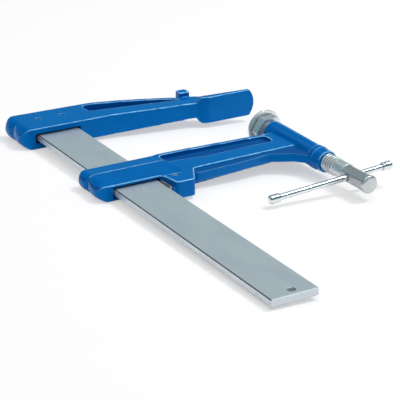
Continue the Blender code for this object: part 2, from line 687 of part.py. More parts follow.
def thread_profile(radial_fit, axial_fit):
    """One pitch of the trapezoidal thread, as (radius, y) points, starting at a root."""
    crest = THREAD_CREST_SHARE * THREAD_PITCH / 2 + axial_fit - radial_fit * tan(THREAD_FLANK_ANGLE)
    foot = crest + THREAD_DEPTH * tan(THREAD_FLANK_ANGLE)
    outer = THREAD_RADIUS + radial_fit
    inner = outer - THREAD_DEPTH
    middle = THREAD_PITCH / 2
    return [(inner, 0), (inner, middle - foot), (outer, middle - crest), (outer, middle + crest),
            (inner, middle + foot), (inner, THREAD_PITCH)]


def threaded_rod(name, low, high, radial_fit, axial_fit):
    """A right-hand threaded rod along Y whose helix is in phase with every other one here."""
    first = int(low // THREAD_PITCH) - SPARE_TURNS
    turns = int((high - low) // THREAD_PITCH) + 2 * SPARE_TURNS
    profile = thread_profile(radial_fit, axial_fit)
    mesh = screwed(name, profile, cutters, THREAD_STEPS, THREAD_PITCH, turns)
    work = bmesh.new()
    work.from_mesh(mesh)
    bmesh.ops.remove_doubles(work, verts=work.verts, dist=WELD_DISTANCE)
    bmesh.ops.translate(work, verts=work.verts, vec=(0, first * THREAD_PITCH, 0))
    open_edges = [edge for edge in work.edges if edge.is_boundary]
    caps = bmesh.ops.holes_fill(work, edges=open_edges, sides=0)["faces"]
    bmesh.ops.triangulate(work, faces=caps)
    bmesh.ops.recalc_face_normals(work, faces=work.faces)
    work.to_mesh(mesh)
    work.free()
    return add_object(name, mesh, cutters)


def threaded_bore():
    thread = threaded_rod("threaded_bore", NOSE_END_Y, NOSE_END_Y + THREADED_BORE_LENGTH,
                          THREAD_RADIAL_FIT, FIT)
    flare = THREAD_RADIUS + 2 * THREAD_RADIAL_FIT
    core = THREAD_RADIUS - THREAD_DEPTH
    profile = [
        (0, NOSE_END_Y - OVERRUN),
        (flare, NOSE_END_Y - OVERRUN),
        (flare, NOSE_END_Y + THREADED_BORE_LENGTH + FIT),
        (0, NOSE_END_Y + THREADED_BORE_LENGTH + FIT),
    ]
    combine(thread, turned("threaded_bore_limit", profile, cutters), "INTERSECT")
    mouth = rod("threaded_bore_mouth", flare, (0, NOSE_END_Y - OVERRUN, 0),
                (0, NOSE_END_Y + flare - core, 0), cutters, end_radius=core)
    combine(thread, mouth, "UNION")
    return thread


def grip_pin_place():
    return (BAR_EDGE_X + GRIP_DEPTH - GRIP_PIN_INSET, SLIDING_NEAR_Y - GRIP_PIN_BACK)


def make_grip_insert():
    low_x = BAR_EDGE_X + FIT
    high_y = GRIP_FAR_Y
    low_y = high_y - GRIP_LENGTH
    insert = box("grip_insert", (low_x, low_y, -GRIP_PLATE_HALF_HEIGHT),
                 (low_x + GRIP_PLATE, high_y, GRIP_PLATE_HALF_HEIGHT), parts)
    round_edges(insert, GRIP_EDGE, 1)
    tongue = box("grip_tongue", (low_x + GRIP_PLATE / 2, low_y + GRIP_PLATE, -GRIP_TONGUE_HALF_HEIGHT),
                 (low_x + GRIP_DEPTH, high_y - GRIP_EDGE, GRIP_TONGUE_HALF_HEIGHT), cutters)
    round_edges(tongue, GRIP_EDGE, 1)
    combine(insert, tongue, "UNION")
    pin_x, pin_y = grip_pin_place()
    reach = GRIP_TONGUE_HALF_HEIGHT + OVERRUN
    hole = rod("grip_insert_hole", GRIP_PIN_RADIUS + FIT, (pin_x, pin_y, -reach), (pin_x, pin_y, reach),
               cutters, steps=PIN_STEPS)
    combine(insert, hole, "DIFFERENCE")
    return insert


def make_grip_pin():
    pin_x, pin_y = grip_pin_place()
    half = SLIDING_HALF_HEIGHT - GRIP_PIN_RECESS
    pin = rod("grip_insert_pin", GRIP_PIN_RADIUS, (pin_x, pin_y, -half), (pin_x, pin_y, half),
              parts, steps=PIN_STEPS)
    round_edges(pin, GRIP_EDGE, 1)
    return pin


def make_spindle():
    core = THREAD_RADIUS - THREAD_DEPTH
    bevel = THREAD_DEPTH
    thread = threaded_rod("spindle_thread", THREAD_END_Y, THREAD_FRONT_Y, 0, 0)
    profile = [
        (0, SHANK_END_Y),
        (SHANK_RADIUS, SHANK_END_Y),
        (SHANK_RADIUS, THREAD_END_Y),
        (NECK_RADIUS, THREAD_END_Y),
    ]
    neck_reach = sqrt(BALL_RADIUS ** 2 - NECK_RADIUS ** 2)
    start = -asin(neck_reach / BALL_RADIUS)
    for step in range(BALL_STEPS + 1):
        angle = start + (pi / 2 - start) * step / BALL_STEPS
        profile.append((BALL_RADIUS * cos(angle), BALL_Y + BALL_RADIUS * sin(angle)))
    profile[-1] = (0, BALL_Y + BALL_RADIUS)
    spindle = turned("spindle", profile, parts, THREAD_STEPS)
    limit = [
        (0, THREAD_END_Y - FIT),
        (SHANK_RADIUS - FIT, THREAD_END_Y - FIT),
        (THREAD_RADIUS + FIT, THREAD_END_Y + FIT),
        (THREAD_RADIUS + FIT, THREAD_FRONT_Y - bevel - FIT),
        (core - FIT, THREAD_FRONT_Y - FIT),
        (0, THREAD_FRONT_Y - FIT),
    ]
    combine(thread, turned("spindle_thread_limit", limit, cutters), "INTERSECT")
    combine(spindle, thread, "UNION")
    combine(spindle, spindle_head(), "UNION")
    reach = HEAD_DISC_RADIUS + OVERRUN
    place = Vector((0, TOMMY_Y, 0))
    hole = rod("cross_hole", CROSS_HOLE_RADIUS, place - TOMMY_AXIS * reach, place + TOMMY_AXIS * reach,
               cutters)
    combine(spindle, hole, "DIFFERENCE")
    return spindle


def spindle_head():
    """Hexagon with the round stock's corners, two flats square to the tommy bar, and its end disc."""
    corner_radius = HEAD_ACROSS_FLATS / 2 / cos(pi / 6)
    head = rod("spindle_head", corner_radius, (0, HEAD_END_Y - FIT, 0), (0, SHANK_END_Y + FIT, 0),
               cutters, steps=6)
    head.data.transform(Matrix.Rotation(-TOMMY_TILT, 4, "Y"))
    stock = rod("head_stock", SHANK_RADIUS, (0, HEAD_END_Y - OVERRUN, 0), (0, SHANK_END_Y + OVERRUN, 0),
                cutters, steps=THREAD_STEPS)
    combine(head, stock, "INTERSECT")
    profile = [
        (0, DISC_END_Y),
        (HEAD_DISC_RADIUS - HEAD_DISC_EDGE, DISC_END_Y),
        (HEAD_DISC_RADIUS, DISC_END_Y + HEAD_DISC_EDGE),
        (HEAD_DISC_RADIUS, HEAD_END_Y - HEAD_DISC_EDGE),
        (HEAD_DISC_RADIUS - HEAD_DISC_EDGE, HEAD_END_Y),
        (0, HEAD_END_Y),
    ]
    combine(head, turned("head_disc", profile, cutters), "UNION")
    return head


def make_tommy_bar():
    place = Vector((0, TOMMY_Y, 0))
    left = place - TOMMY_AXIS * (TOMMY_LONG_SIDE - TOMMY_END_WALL - FIT)
    right = place + TOMMY_AXIS * (TOMMY_SHORT_SIDE - TOMMY_END_WALL - FIT)
    return rod("tommy_bar", TOMMY_RADIUS, left, right, parts, steps=TOMMY_STEPS)


def make_tommy_end(name, direction, reach):
    """A swollen end on the rod, blind toward the outside."""
    bore = TOMMY_RADIUS + FIT
    waist = (bore + TOMMY_END_RADIUS) / 2
    profile = [
        (bore, 0),
        (waist, 0),
        (TOMMY_END_RADIUS, TOMMY_END_TAPER),
        (TOMMY_END_RADIUS, TOMMY_END_LENGTH - TOMMY_END_WALL),
        (waist, TOMMY_END_LENGTH),
        (0, TOMMY_END_LENGTH),
        (0, TOMMY_END_LENGTH - TOMMY_END_WALL),
        (bore, TOMMY_END_LENGTH - TOMMY_END_WALL),
        (bore, 0),
    ]
    end = turned(name, profile, parts, TOMMY_STEPS)
    turn = (direction * TOMMY_AXIS).to_track_quat("Y", "Z").to_matrix().to_4x4()
    inner = Vector((0, TOMMY_Y, 0)) + direction * TOMMY_AXIS * (reach - TOMMY_END_LENGTH)
    end.data.transform(Matrix.Translation(inner) @ turn)
    return end


def ball_arc(radius, start, end, steps):
    """Points of an arc round the ball's centre, with angles from the pressing direction."""
    angles = [start + (end - start) * step / steps for step in range(steps + 1)]
    return [(radius * sin(angle), BALL_Y + radius * cos(angle)) for angle in angles]


def make_ball_cup():
    inner = BALL_RADIUS + FIT
    outer = inner + CUP_THICKNESS
    back = pi - asin((NECK_RADIUS + CUP_BACK_CLEARANCE) / inner)
    profile = ball_arc(outer, CUP_FRONT_ANGLE, back, BALL_STEPS)
    profile += ball_arc(inner, back, CUP_FRONT_ANGLE, BALL_STEPS)
    profile.append(profile[0])
    return turned("ball_cup", profile, parts, THREAD_STEPS)


def make_swivel_pad():
    profile = [
        (0, PAD_FACE_Y),
        (PAD_RADIUS - PAD_EDGE, PAD_FACE_Y),
        (PAD_RADIUS, PAD_FACE_Y - PAD_EDGE),
        (PAD_RADIUS, PAD_FLANGE_Y + PAD_EDGE),
        (PAD_RADIUS - PAD_EDGE, PAD_FLANGE_Y),
        (0, PAD_FLANGE_Y),
    ]
    pad = turned("swivel_pad", profile, parts, PAD_STEPS)
    corner_radius = PAD_NECK_ACROSS_FLATS / 2 / cos(pi / 6)
    neck = rod("swivel_pad_neck", corner_radius, (0, PAD_BACK_Y, 0), (0, PAD_FLANGE_Y + FIT, 0),
               cutters, steps=6)
    round_edges(neck, PAD_EDGE, 1)
    combine(pad, neck, "UNION")
    socket = turned("swivel_pad_socket", ball_socket_profile(), cutters, PAD_STEPS)
    combine(pad, socket, "DIFFERENCE")
    return pad


def ball_socket_profile():
    """Round socket that opens through the pad's back."""
    back = pi - asin((NECK_RADIUS + CUP_BACK_CLEARANCE) / SOCKET_RADIUS)
    profile = ball_arc(SOCKET_RADIUS, 0, back, BALL_STEPS)
    mouth_y = PAD_BACK_Y - OVERRUN
    return profile + [(profile[-1][0], mouth_y), (0, mouth_y)]


def carry(name, place, pieces):
    """Hang the pieces of one moving body on an empty that lies on the body's joint axis."""
    frame = bpy.data.objects.new(name, None)
    frame.empty_display_size = BAR_WIDTH
    frame.location = place
    parts.objects.link(frame)
    for piece in pieces:
        piece.parent = frame
        piece.location = -Vector(place)


def finish(piece, material):
    piece.data.materials.clear()
    piece.data.materials.append(material)
    piece.data.shade_smooth()
    piece.data.set_sharp_from_angle(angle=radians(30))


clear_scene()
parts = make_collection("bar_clamp")
cutters = make_collection("bar_clamp_cutters")

blue_paint = make_material("blue_paint", BLUE, 0.0, 0.35)
bar_steel = make_material("bar_steel", SATIN_STEEL, 1.0, 0.40)
plated_steel = make_material("plated_steel", BRIGHT_STEEL, 1.0, 0.22)
hard_steel = make_material("hard_steel", HARD_STEEL, 1.0, 0.55)

bar = make_bar()
fixed_jaw = make_fixed_jaw()
fixed_pins = make_fixed_pins()
sliding_jaw = make_sliding_jaw()
grip_insert = make_grip_insert()
grip_pin = make_grip_pin()
spindle = make_spindle()
tommy_bar = make_tommy_bar()
tommy_ends = [
    make_tommy_end("tommy_bar_end_left", -1, TOMMY_LONG_SIDE),
    make_tommy_end("tommy_bar_end_right", 1, TOMMY_SHORT_SIDE),
]
ball_cup = make_ball_cup()
swivel_pad = make_swivel_pad()

finish(bar, bar_steel)
for painted in (fixed_jaw, sliding_jaw):
    finish(painted, blue_paint)
for pin in (*fixed_pins, grip_insert, grip_pin, ball_cup):
    finish(pin, hard_steel)
for plated in (spindle, tommy_bar, *tommy_ends, swivel_pad):
    finish(plated, plated_steel)

carry("jaw_slide", (BAR_X, SLIDING_FACE_Y, 0), [sliding_jaw, grip_insert, grip_pin])
carry("spindle_feed", (0, BALL_Y, 0), [ball_cup])
carry("spindle_turn", (0, NOSE_END_Y, 0), [spindle])
carry("handle_slide", (0, TOMMY_Y, 0), [tommy_bar, *tommy_ends])
carry("pad_tilt", (0, BALL_Y, 0), [swivel_pad])
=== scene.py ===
# Bar clamp, visual model. Metres, +Z up; the spindle presses along +Y, and +X points away from the bar.

from math import asin, ceil, cos, exp, pi, radians, sin, sqrt, tan

import bmesh
import bpy
from mathutils import Matrix, Vector


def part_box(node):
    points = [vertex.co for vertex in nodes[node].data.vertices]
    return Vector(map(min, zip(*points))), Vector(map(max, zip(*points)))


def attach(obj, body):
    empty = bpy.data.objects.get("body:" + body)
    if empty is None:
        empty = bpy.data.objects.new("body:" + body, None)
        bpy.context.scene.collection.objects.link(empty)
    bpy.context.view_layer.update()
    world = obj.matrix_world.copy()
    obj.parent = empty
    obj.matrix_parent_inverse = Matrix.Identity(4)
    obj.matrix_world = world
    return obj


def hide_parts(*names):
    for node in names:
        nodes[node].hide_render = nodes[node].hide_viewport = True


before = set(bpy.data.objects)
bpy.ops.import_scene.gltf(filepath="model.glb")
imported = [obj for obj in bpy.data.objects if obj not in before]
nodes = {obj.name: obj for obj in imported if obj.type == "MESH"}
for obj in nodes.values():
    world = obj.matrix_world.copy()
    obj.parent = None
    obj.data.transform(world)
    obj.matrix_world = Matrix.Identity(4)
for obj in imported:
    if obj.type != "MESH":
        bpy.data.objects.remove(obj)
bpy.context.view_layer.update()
scene = bpy.context.scene
print("frame loaded:", len(nodes), "nodes")


# Camera, floor, lamps and world

cameraSetup = {
    "place": (-0.8378, -1.3602, 0.5495),
    "target": (-0.171, -0.23054, 0.0),
    "lens": 127.73,
    "sensor": 36.0,
    "nearest": 0.05,
    "farthest": 50.0,
}

floorSetup = {
    # the clamp lies on both housings' ends and on the pad's rim, so the floor leans under it
    "height": -0.0229,
    "leanX": -0.04422,
    "leanY": -0.01347,
    "half": 6.0,
    "colour": (0.975, 0.975, 0.98, 1),
    "whiteSeen": 0.52,  # share of plain white that the camera sees
    "whiteReflected": 0.04,
}

lampSetup = {
    # name: place, aim, width, height, watts, colour
    "keyStrip": ((1.52, -0.68, 2.92), (-0.10, -0.14, 0.0), 0.13, 0.90, 52.0, (1.0, 0.995, 0.98)),
    "frontPanel": ((-1.59, -1.99, 1.80), (-0.10, -0.15, 0.0), 0.80, 0.80, 3.0, (0.97, 0.985, 1.0)),
}

worldSetup = {
    # height of the direction over the horizon, and the soft light that falls from there
    "light": ((0.0, (0.09, 0.09, 0.09, 1)), (0.35, (0.20, 0.20, 0.20, 1)), (0.70, (0.54, 0.54, 0.54, 1)),
              (1.0, (1.0, 1.0, 1.0, 1))),
    "lightStrength": 1.1,
    # the same for the sky that gloss and metal show
    "sky": ((0.0, (0.95, 0.95, 0.95, 1)), (0.07, (0.85, 0.85, 0.85, 1)), (0.13, (0.11, 0.27, 0.33, 1)),
            (0.33, (0.06, 0.26, 0.31, 1)), (0.50, (0.02, 0.07, 0.09, 1)), (0.60, (0.03, 0.045, 0.05, 1)),
            (0.76, (0.72, 0.88, 0.95, 1)), (1.0, (0.85, 0.95, 1.0, 1))),
}


def assign(item, **values):
    for name, value in values.items():
        setattr(item, name, value)


def addObject(name, data):
    item = bpy.data.objects.new(name, data)
    scene.collection.objects.link(item)
    return item


def addNode(tree, kind, inputs=None, **settings):
    # each input is a plain value, or the socket of another node that feeds it
    node = tree.nodes.new(kind)
    assign(node, **settings)
    for name, value in (inputs or {}).items():
        if isinstance(value, bpy.types.NodeSocket):
            tree.links.new(value, node.inputs[name])
        else:
            node.inputs[name].default_value = value
    return node


def calculated(tree, operation, *values):
    return addNode(tree, "ShaderNodeMath", dict(enumerate(values)), operation=operation).outputs[0]


def multiplied(tree, first, second):
    return calculated(tree, "MULTIPLY", first, second)


def mixShaders(tree, share, first, second):
    return addNode(tree, "ShaderNodeMixShader", {0: share, 1: first.outputs[0], 2: second.outputs[0]})


def textureSpace(tree, kind="Object"):
    return addNode(tree, "ShaderNodeTexCoord").outputs[kind]


def coordinates(tree, kind):
    # X, Y and Z of the place ("Object"), the normal ("Normal") or the direction ("Generated")
    return addNode(tree, "ShaderNodeSeparateXYZ", {0: textureSpace(tree, kind)}).outputs


def placeAt(item, place, target):
    # puts a camera or lamp there, looking at the target
    item.location = place
    item.rotation_euler = (Vector(target) - item.location).to_track_quat("-Z", "Y").to_euler()


def makeCamera(setup):
    camera = addObject("camera", bpy.data.cameras.new("camera"))
    placeAt(camera, setup["place"], setup["target"])
    assign(camera.data, lens=setup["lens"], sensor_width=setup["sensor"], clip_start=setup["nearest"],
           clip_end=setup["farthest"])
    scene.camera = camera


def seenBy(tree, *rays):
    # 1 for the given kinds of ray, 0 for all others
    path = addNode(tree, "ShaderNodeLightPath")
    total = path.outputs[rays[0]]
    for ray in rays[1:]:
        total = calculated(tree, "MAXIMUM", total, path.outputs[ray])
    return total


def makeFloor(setup):
    half = setup["half"]
    mesh = bpy.data.meshes.new("floor")
    corners = [(x, y, setup["height"] + setup["leanX"] * x + setup["leanY"] * y)
               for x, y in ((-half, -half), (half, -half), (half, half), (-half, half))]
    mesh.from_pydata(corners, [], [(0, 1, 2, 3)])
    floor = addObject("floor", mesh)
    material = bpy.data.materials.new("paleFloor")
    material.use_nodes = True
    tree = material.node_tree
    tree.nodes.remove(tree.nodes["Principled BSDF"])
    matt = addNode(tree, "ShaderNodeBsdfDiffuse", {"Color": setup["colour"]})
    glow = addNode(tree, "ShaderNodeEmission", {"Color": (1, 1, 1, 1), "Strength": 1.0})
    seen = multiplied(tree, seenBy(tree, "Is Camera Ray", "Is Transmission Ray"), setup["whiteSeen"])
    reflected = multiplied(tree, seenBy(tree, "Is Glossy Ray"), setup["whiteReflected"])
    mix = mixShaders(tree, calculated(tree, "MAXIMUM", seen, reflected), matt, glow)
    tree.links.new(mix.outputs[0], tree.nodes["Material Output"].inputs["Surface"])
    mesh.materials.append(material)


def makeLamps(setup):
    for name, (place, target, width, height, watts, colour) in setup.items():
        lamp = addObject(name, bpy.data.lights.new(name, "AREA"))
        placeAt(lamp, place, target)
        assign(lamp.data, shape="RECTANGLE", size=width, size_y=height, energy=watts, color=colour)


def makeWorld(setup):
    # a soft light from above, white to the camera, and a graded sky in reflections
    world = bpy.data.worlds.new("studio")
    scene.world = world
    world.use_nodes = True
    tree = world.node_tree
    tree.nodes.clear()
    height = coordinates(tree, "Generated")["Z"]
    graded = []
    for shades, strength in ((setup["light"], setup["lightStrength"]), (setup["sky"], 1.0)):
        ramp = addNode(tree, "ShaderNodeValToRGB", {0: height})
        stops = ramp.color_ramp.elements
        stops[-1].position, stops[-1].color = shades[-1]
        stops[0].position, stops[0].color = shades[0]
        for place, colour in shades[1:-1]:
            stops.new(place).color = colour
        graded.append(addNode(tree, "ShaderNodeBackground", {"Color": ramp.outputs[0], "Strength": strength}))
    white = addNode(tree, "ShaderNodeBackground", {"Color": (1, 1, 1, 1), "Strength": 1.0})
    reflected = mixShaders(tree, seenBy(tree, "Is Glossy Ray"), *graded)
    seen = mixShaders(tree, seenBy(tree, "Is Camera Ray", "Is Transmission Ray"), reflected, white)
    addNode(tree, "ShaderNodeOutputWorld", {"Surface": seen.outputs[0]})


makeCamera(cameraSetup)
makeFloor(floorSetup)
makeLamps(lampSetup)
makeWorld(worldSetup)
scene.view_settings.view_transform = "Standard"
print("stage set")


# Effects that several materials share

effectValues = {
    "grainContrast": (0.30, 0.70),  # the noise's range that spreads over Low to High
    "grainRoughness": 0.55,
    "wearContrast": (0.40, 0.60),
    "wearNoise": {"Detail": 5.0, "Roughness": 0.6},
    "scratchCentre": 0.5,
    "scratchPatches": (0.50, 0.68),
    "turningDrift": {"Scale": 1.7, "Detail": 2.0},
    "hollowAmount": 0.9,
    "hollowSamples": 8,
}


def newGroup(name, inputs, *outputs):
    group = bpy.data.node_groups.new(name, "ShaderNodeTree")
    for label, value in inputs.items():
        kind = "NodeSocketVector" if isinstance(value, tuple) else "NodeSocketFloat"
        group.interface.new_socket(name=label, in_out="INPUT", socket_type=kind).default_value = value
    for label in outputs:
        group.interface.new_socket(name=label, in_out="OUTPUT", socket_type="NodeSocketFloat")
    return group, addNode(group, "NodeGroupInput").outputs


def absolute(tree, value):
    return calculated(tree, "ABSOLUTE", value)


def remap(tree, value, fromLow, fromHigh, toLow=0.0, toHigh=1.0, way="LINEAR"):
    inputs = {"Value": value, "From Min": fromLow, "From Max": fromHigh, "To Min": toLow, "To Max": toHigh}
    return addNode(tree, "ShaderNodeMapRange", inputs, clamp=True, interpolation_type=way).outputs[0]


def noiseValue(tree, inputs, **settings):
    return addNode(tree, "ShaderNodeTexNoise", inputs, **settings).outputs["Fac"]


def stretchedPlace(tree, stretch):
    inputs = {0: textureSpace(tree), 1: stretch}
    return addNode(tree, "ShaderNodeVectorMath", inputs, operation="MULTIPLY").outputs[0]


def makeGrainGroup():
    # uneven grain, stretched along an axis where Stretch is small
    group, given = newGroup("surfaceGrain", {"Scale": 500.0, "Stretch": (1, 1, 1), "Detail": 4.0, "Low": 0.0,
                                             "High": 1.0}, "Value", "Height")
    height = noiseValue(group, {"Vector": stretchedPlace(group, given["Stretch"]), "Scale": given["Scale"],
                                "Detail": given["Detail"], "Roughness": effectValues["grainRoughness"]})
    spread = remap(group, height, *effectValues["grainContrast"], given["Low"], given["High"])
    addNode(group, "NodeGroupOutput", {"Value": spread, "Height": height})
    return group


def makeEdgeWearGroup():
    # a broken mask along outward edges
    group, given = newGroup("edgeWearAndHighlight", {"Start": 0.52, "End": 0.60, "Breakup": 300.0, "Cover": 0.0,
                                         "Amount": 1.0}, "Mask")
    pointed = addNode(group, "ShaderNodeNewGeometry").outputs["Pointiness"]
    edge = remap(group, pointed, given["Start"], given["End"], way="SMOOTHSTEP")
    patches = noiseValue(group, {"Vector": textureSpace(group), "Scale": given["Breakup"],
                                 **effectValues["wearNoise"]})
    broken = remap(group, patches, *effectValues["wearContrast"], given["Cover"])
    mask = multiplied(group, multiplied(group, edge, broken), given["Amount"])
    addNode(group, "NodeGroupOutput", {"Mask": mask})
    return group


def makeScratchGroup():
    # a few hairlines that run along the direction in which Stretch is small
    group, given = newGroup("hairScratches", {"Scale": 900.0, "Stretch": (1, 0.02, 1), "Width": 0.012,
                                              "Spread": 40.0}, "Mask")
    lines = noiseValue(group, {"Vector": stretchedPlace(group, given["Stretch"]), "Scale": given["Scale"],
                               "Detail": 1.0})
    centred = absolute(group, calculated(group, "SUBTRACT", lines, effectValues["scratchCentre"]))
    thin = remap(group, centred, 0.0, given["Width"], 1.0, 0.0)
    patches = noiseValue(group, {"Vector": textureSpace(group), "Scale": given["Spread"], "Detail": 2.0})
    sparse = remap(group, patches, *effectValues["scratchPatches"])
    addNode(group, "NodeGroupOutput", {"Mask": multiplied(group, thin, sparse)})
    return group


def makeTurningGroup():
    # tool marks of a piece turned about its own Y axis, on its faces and its sides
    group, given = newGroup("turningMarks", {"Pitch": 0.0004, "Uneven": 0.35}, "Height", "Radius")
    flat = stretchedPlace(group, (1, 0, 1))
    radius = addNode(group, "ShaderNodeVectorMath", {0: flat}, operation="LENGTH").outputs["Value"]
    along = calculated(group, "ADD", coordinates(group, "Object")["Y"], radius)
    turns = calculated(group, "DIVIDE", along, given["Pitch"])
    wave = calculated(group, "SINE", multiplied(group, turns, 2 * pi))
    drift = noiseValue(group, {"W": turns, **effectValues["turningDrift"]}, noise_dimensions="1D")
    marks = calculated(group, "ADD", wave, multiplied(group, drift, given["Uneven"]))
    addNode(group, "NodeGroupOutput", {"Height": marks, "Radius": radius})
    return group


def makeHollowGroup():
    # 1 deep in a piece's own hollows, 0 where it lies open: the mask for painted shade
    group, given = newGroup("hollowShadeMask", {"Reach": 0.010, "Full": 0.40, "Open": 0.90}, "Mask")
    light = addNode(group, "ShaderNodeAmbientOcclusion", {"Distance": given["Reach"]},
                    samples=effectValues["hollowSamples"], only_local=True).outputs["AO"]
    mask = remap(group, light, given["Full"], given["Open"], effectValues["hollowAmount"], 0.0)
    addNode(group, "NodeGroupOutput", {"Mask": mask})
    return group


grainGroup = makeGrainGroup()
edgeWearAndHighlightGroup = makeEdgeWearGroup()
scratchGroup = makeScratchGroup()
turningGroup = makeTurningGroup()
hollowShadeGroup = makeHollowGroup()


def useGroup(tree, group, inputs):
    return addNode(tree, "ShaderNodeGroup", inputs, node_tree=group).outputs


def useGrains(tree, look, *names):
    return [useGroup(tree, grainGroup, look[name]) for name in names]


def newMaterial(name, inputs):
    material = bpy.data.materials.new(name)
    material.use_nodes = True
    shader = material.node_tree.nodes["Principled BSDF"]
    for label, value in inputs.items():
        shader.inputs[label].default_value = value
    return material, material.node_tree


def mixColours(tree, factor, first, second):
    inputs = {0: factor, 6: first, 7: second}
    return addNode(tree, "ShaderNodeMix", inputs, data_type="RGBA").outputs[2]


def giveLook(material, colour, roughness, *bumps):
    # every bump is (height, distance, strength), coarse first
    tree = material.node_tree
    normal = {}
    for height, distance, strength in bumps:
        inputs = {"Height": height, "Distance": distance, "Strength": strength, **normal}
        normal = {"Normal": addNode(tree, "ShaderNodeBump", inputs).outputs[0]}
    shader = tree.nodes["Principled BSDF"]
    for label, socket in {"Base Color": colour, "Roughness": roughness, **normal}.items():
        tree.links.new(socket, shader.inputs[label])
    return material


paintLook = {
    "shader": {"Metallic": 0.0, "IOR": 1.55, "Specular IOR Level": 0.5,
               "Specular Tint": (0.02, 0.48, 1.0, 1)},
    "colour": (0.0, 0.142, 0.500, 1),
    "deepColour": (0.0, 0.126, 0.460, 1),
    "highlightColour": (0.280, 0.660, 1.0, 1),
    "hollowShadeColour": (0.0, 0.065, 0.270, 1),
    "lumps": {"Scale": 130.0, "Detail": 3.0},
    "peel": {"Scale": 950.0, "Detail": 2.0, "Low": 0.06, "High": 0.11},
    "cloud": {"Scale": 34.0, "Detail": 5.0},
    "wearAndHighlight": {"Start": 0.506, "End": 0.532, "Breakup": 90.0, "Cover": 0.60, "Amount": 0.95},
    "highlightFacing": (0.25, 0.55),  # upward share of the normal from which the edges get the painted highlight
    "walls": {"Reach": 0.014, "Full": 0.40, "Open": 0.90},
    "shadedFloorHeight": (0.0056, 0.0064),  # distance from the mid plane at which a floor gets painted shade, and no longer
    "shadedFloorFacing": (0.45, 0.60),
    "floorShadeAmount": 0.95,
    "hollowGloss": (0.10, 0.75),
    "hollowRoughness": 0.60,
    "lumpBump": (0.0006, 0.06),  # every bump: distance, strength
    "peelBump": (0.00005, 0.08),
}


def makeBluePaint(look):
    # enamel sprayed over a forging: lumps of the forging below, orange peel on top
    material, tree = newMaterial("blueEnamel", look["shader"])
    lumps, peel, cloud = useGrains(tree, look, "lumps", "peel", "cloud")
    wearAndHighlight = useGroup(tree, edgeWearAndHighlightGroup, look["wearAndHighlight"])["Mask"]
    base = mixColours(tree, cloud["Value"], look["deepColour"], look["colour"])
    # painted highlight: a pale colour along the upward-facing edges of the broad sides, broken up in patches
    upward = absolute(tree, coordinates(tree, "Normal")["Z"])
    thin = multiplied(tree, wearAndHighlight, remap(tree, upward, *look["highlightFacing"]))
    edgeHighlighted = mixColours(tree, thin, base, look["highlightColour"])
    # and painted shade: dark in the hollows and on the floor of each groove near the mid plane, where the
    # gloss is also dulled
    height = absolute(tree, coordinates(tree, "Object")["Z"])
    deep = remap(tree, height, *look["shadedFloorHeight"], look["floorShadeAmount"], 0.0)
    floorShade = multiplied(tree, deep, remap(tree, upward, *look["shadedFloorFacing"]))
    hollow = calculated(tree, "MAXIMUM", floorShade, useGroup(tree, hollowShadeGroup, look["walls"])["Mask"])
    dulled = remap(tree, hollow, *look["hollowGloss"], peel["Value"], look["hollowRoughness"])
    return giveLook(material, mixColours(tree, hollow, edgeHighlighted, look["hollowShadeColour"]), dulled,
                    (lumps["Height"], *look["lumpBump"]), (peel["Height"], *look["peelBump"]))


barSteelLook = {
    "shader": {"Metallic": 0.55},
    "colour": (0.68, 0.74, 0.78, 1),
    "darkColour": (0.61, 0.67, 0.72, 1),
    "lineColour": (0.86, 0.88, 0.90, 1),
    "cornerReflectionColour": (0.15, 0.16, 0.17, 1),
    "shadeColour": (0.16, 0.30, 0.45, 1),
    "drawn": {"Scale": 2600.0, "Stretch": (1, 0.012, 1), "Detail": 3.0, "Low": 0.32, "High": 0.42},
    "cloud": {"Scale": 26.0, "Stretch": (1, 0.5, 1), "Detail": 6.0},
    "speck": {"Scale": 700.0, "Detail": 4.0},
    "scratch": {"Scale": 420.0, "Stretch": (1, 0.05, 1), "Width": 0.012},
    "wearAndHighlight": {"Start": 0.55, "End": 0.75, "Breakup": 180.0, "Amount": 0.5},
    "cornerSlant": (0.25, 0.40),  # product of the normal's X and Z
    "shadeReach": 0.014,
    "shadeSamples": 8,
    "shadeOpen": (0.45, 0.95),
    "shadeAmount": 0.85,
    "shadeFacing": (0.80, 0.95),
    "speckBump": (0.00004, 0.25),
    "drawnBump": (0.00002, 0.35),
}


def makeBarSteel(look):
    # drawn flat stock: fine lines along the bar, faint cloudy patches, rubbed edges
    material, tree = newMaterial("drawnBarSteel", look["shader"])
    drawn, cloud, speck = useGrains(tree, look, "drawn", "cloud", "speck")
    scratch = useGroup(tree, scratchGroup, look["scratch"])["Mask"]
    wearAndHighlight = useGroup(tree, edgeWearAndHighlightGroup, look["wearAndHighlight"])["Mask"]
    base = mixColours(tree, cloud["Value"], look["darkColour"], look["colour"])
    lined = mixColours(tree, scratch, base, look["lineColour"])
    rubbed = mixColours(tree, wearAndHighlight, lined, look["lineColour"])
    # painted dark reflection on the broken corners along the bar
    normal = coordinates(tree, "Normal")
    slant = absolute(tree, multiplied(tree, normal["X"], normal["Z"]))
    cornerReflected = mixColours(tree, remap(tree, slant, *look["cornerSlant"]), rubbed, look["cornerReflectionColour"])
    # painted reflection and shade of the blue housings close beside the steel
    light = addNode(tree, "ShaderNodeAmbientOcclusion", {"Distance": look["shadeReach"]},
                    samples=look["shadeSamples"]).outputs["AO"]
    near = remap(tree, light, *look["shadeOpen"], look["shadeAmount"], 0.0)
    flat = remap(tree, absolute(tree, normal["Z"]), *look["shadeFacing"])
    colour = mixColours(tree, multiplied(tree, near, flat), cornerReflected, look["shadeColour"])
    return giveLook(material, colour, drawn["Value"], (speck["Height"], *look["speckBump"]),
                    (drawn["Height"], *look["drawnBump"]))


turnedLook = {
    # what all turned pieces share
    "uneven": 1.2,
    "cloud": {"Scale": 210.0, "Detail": 5.0},
    "gloss": {"Scale": 1300.0, "Detail": 3.0},
    "glossBump": (0.00002, 0.25),
    "markStrength": 0.5,
    "rootFade": 0.0012,
    "rootAmount": 0.75,
}

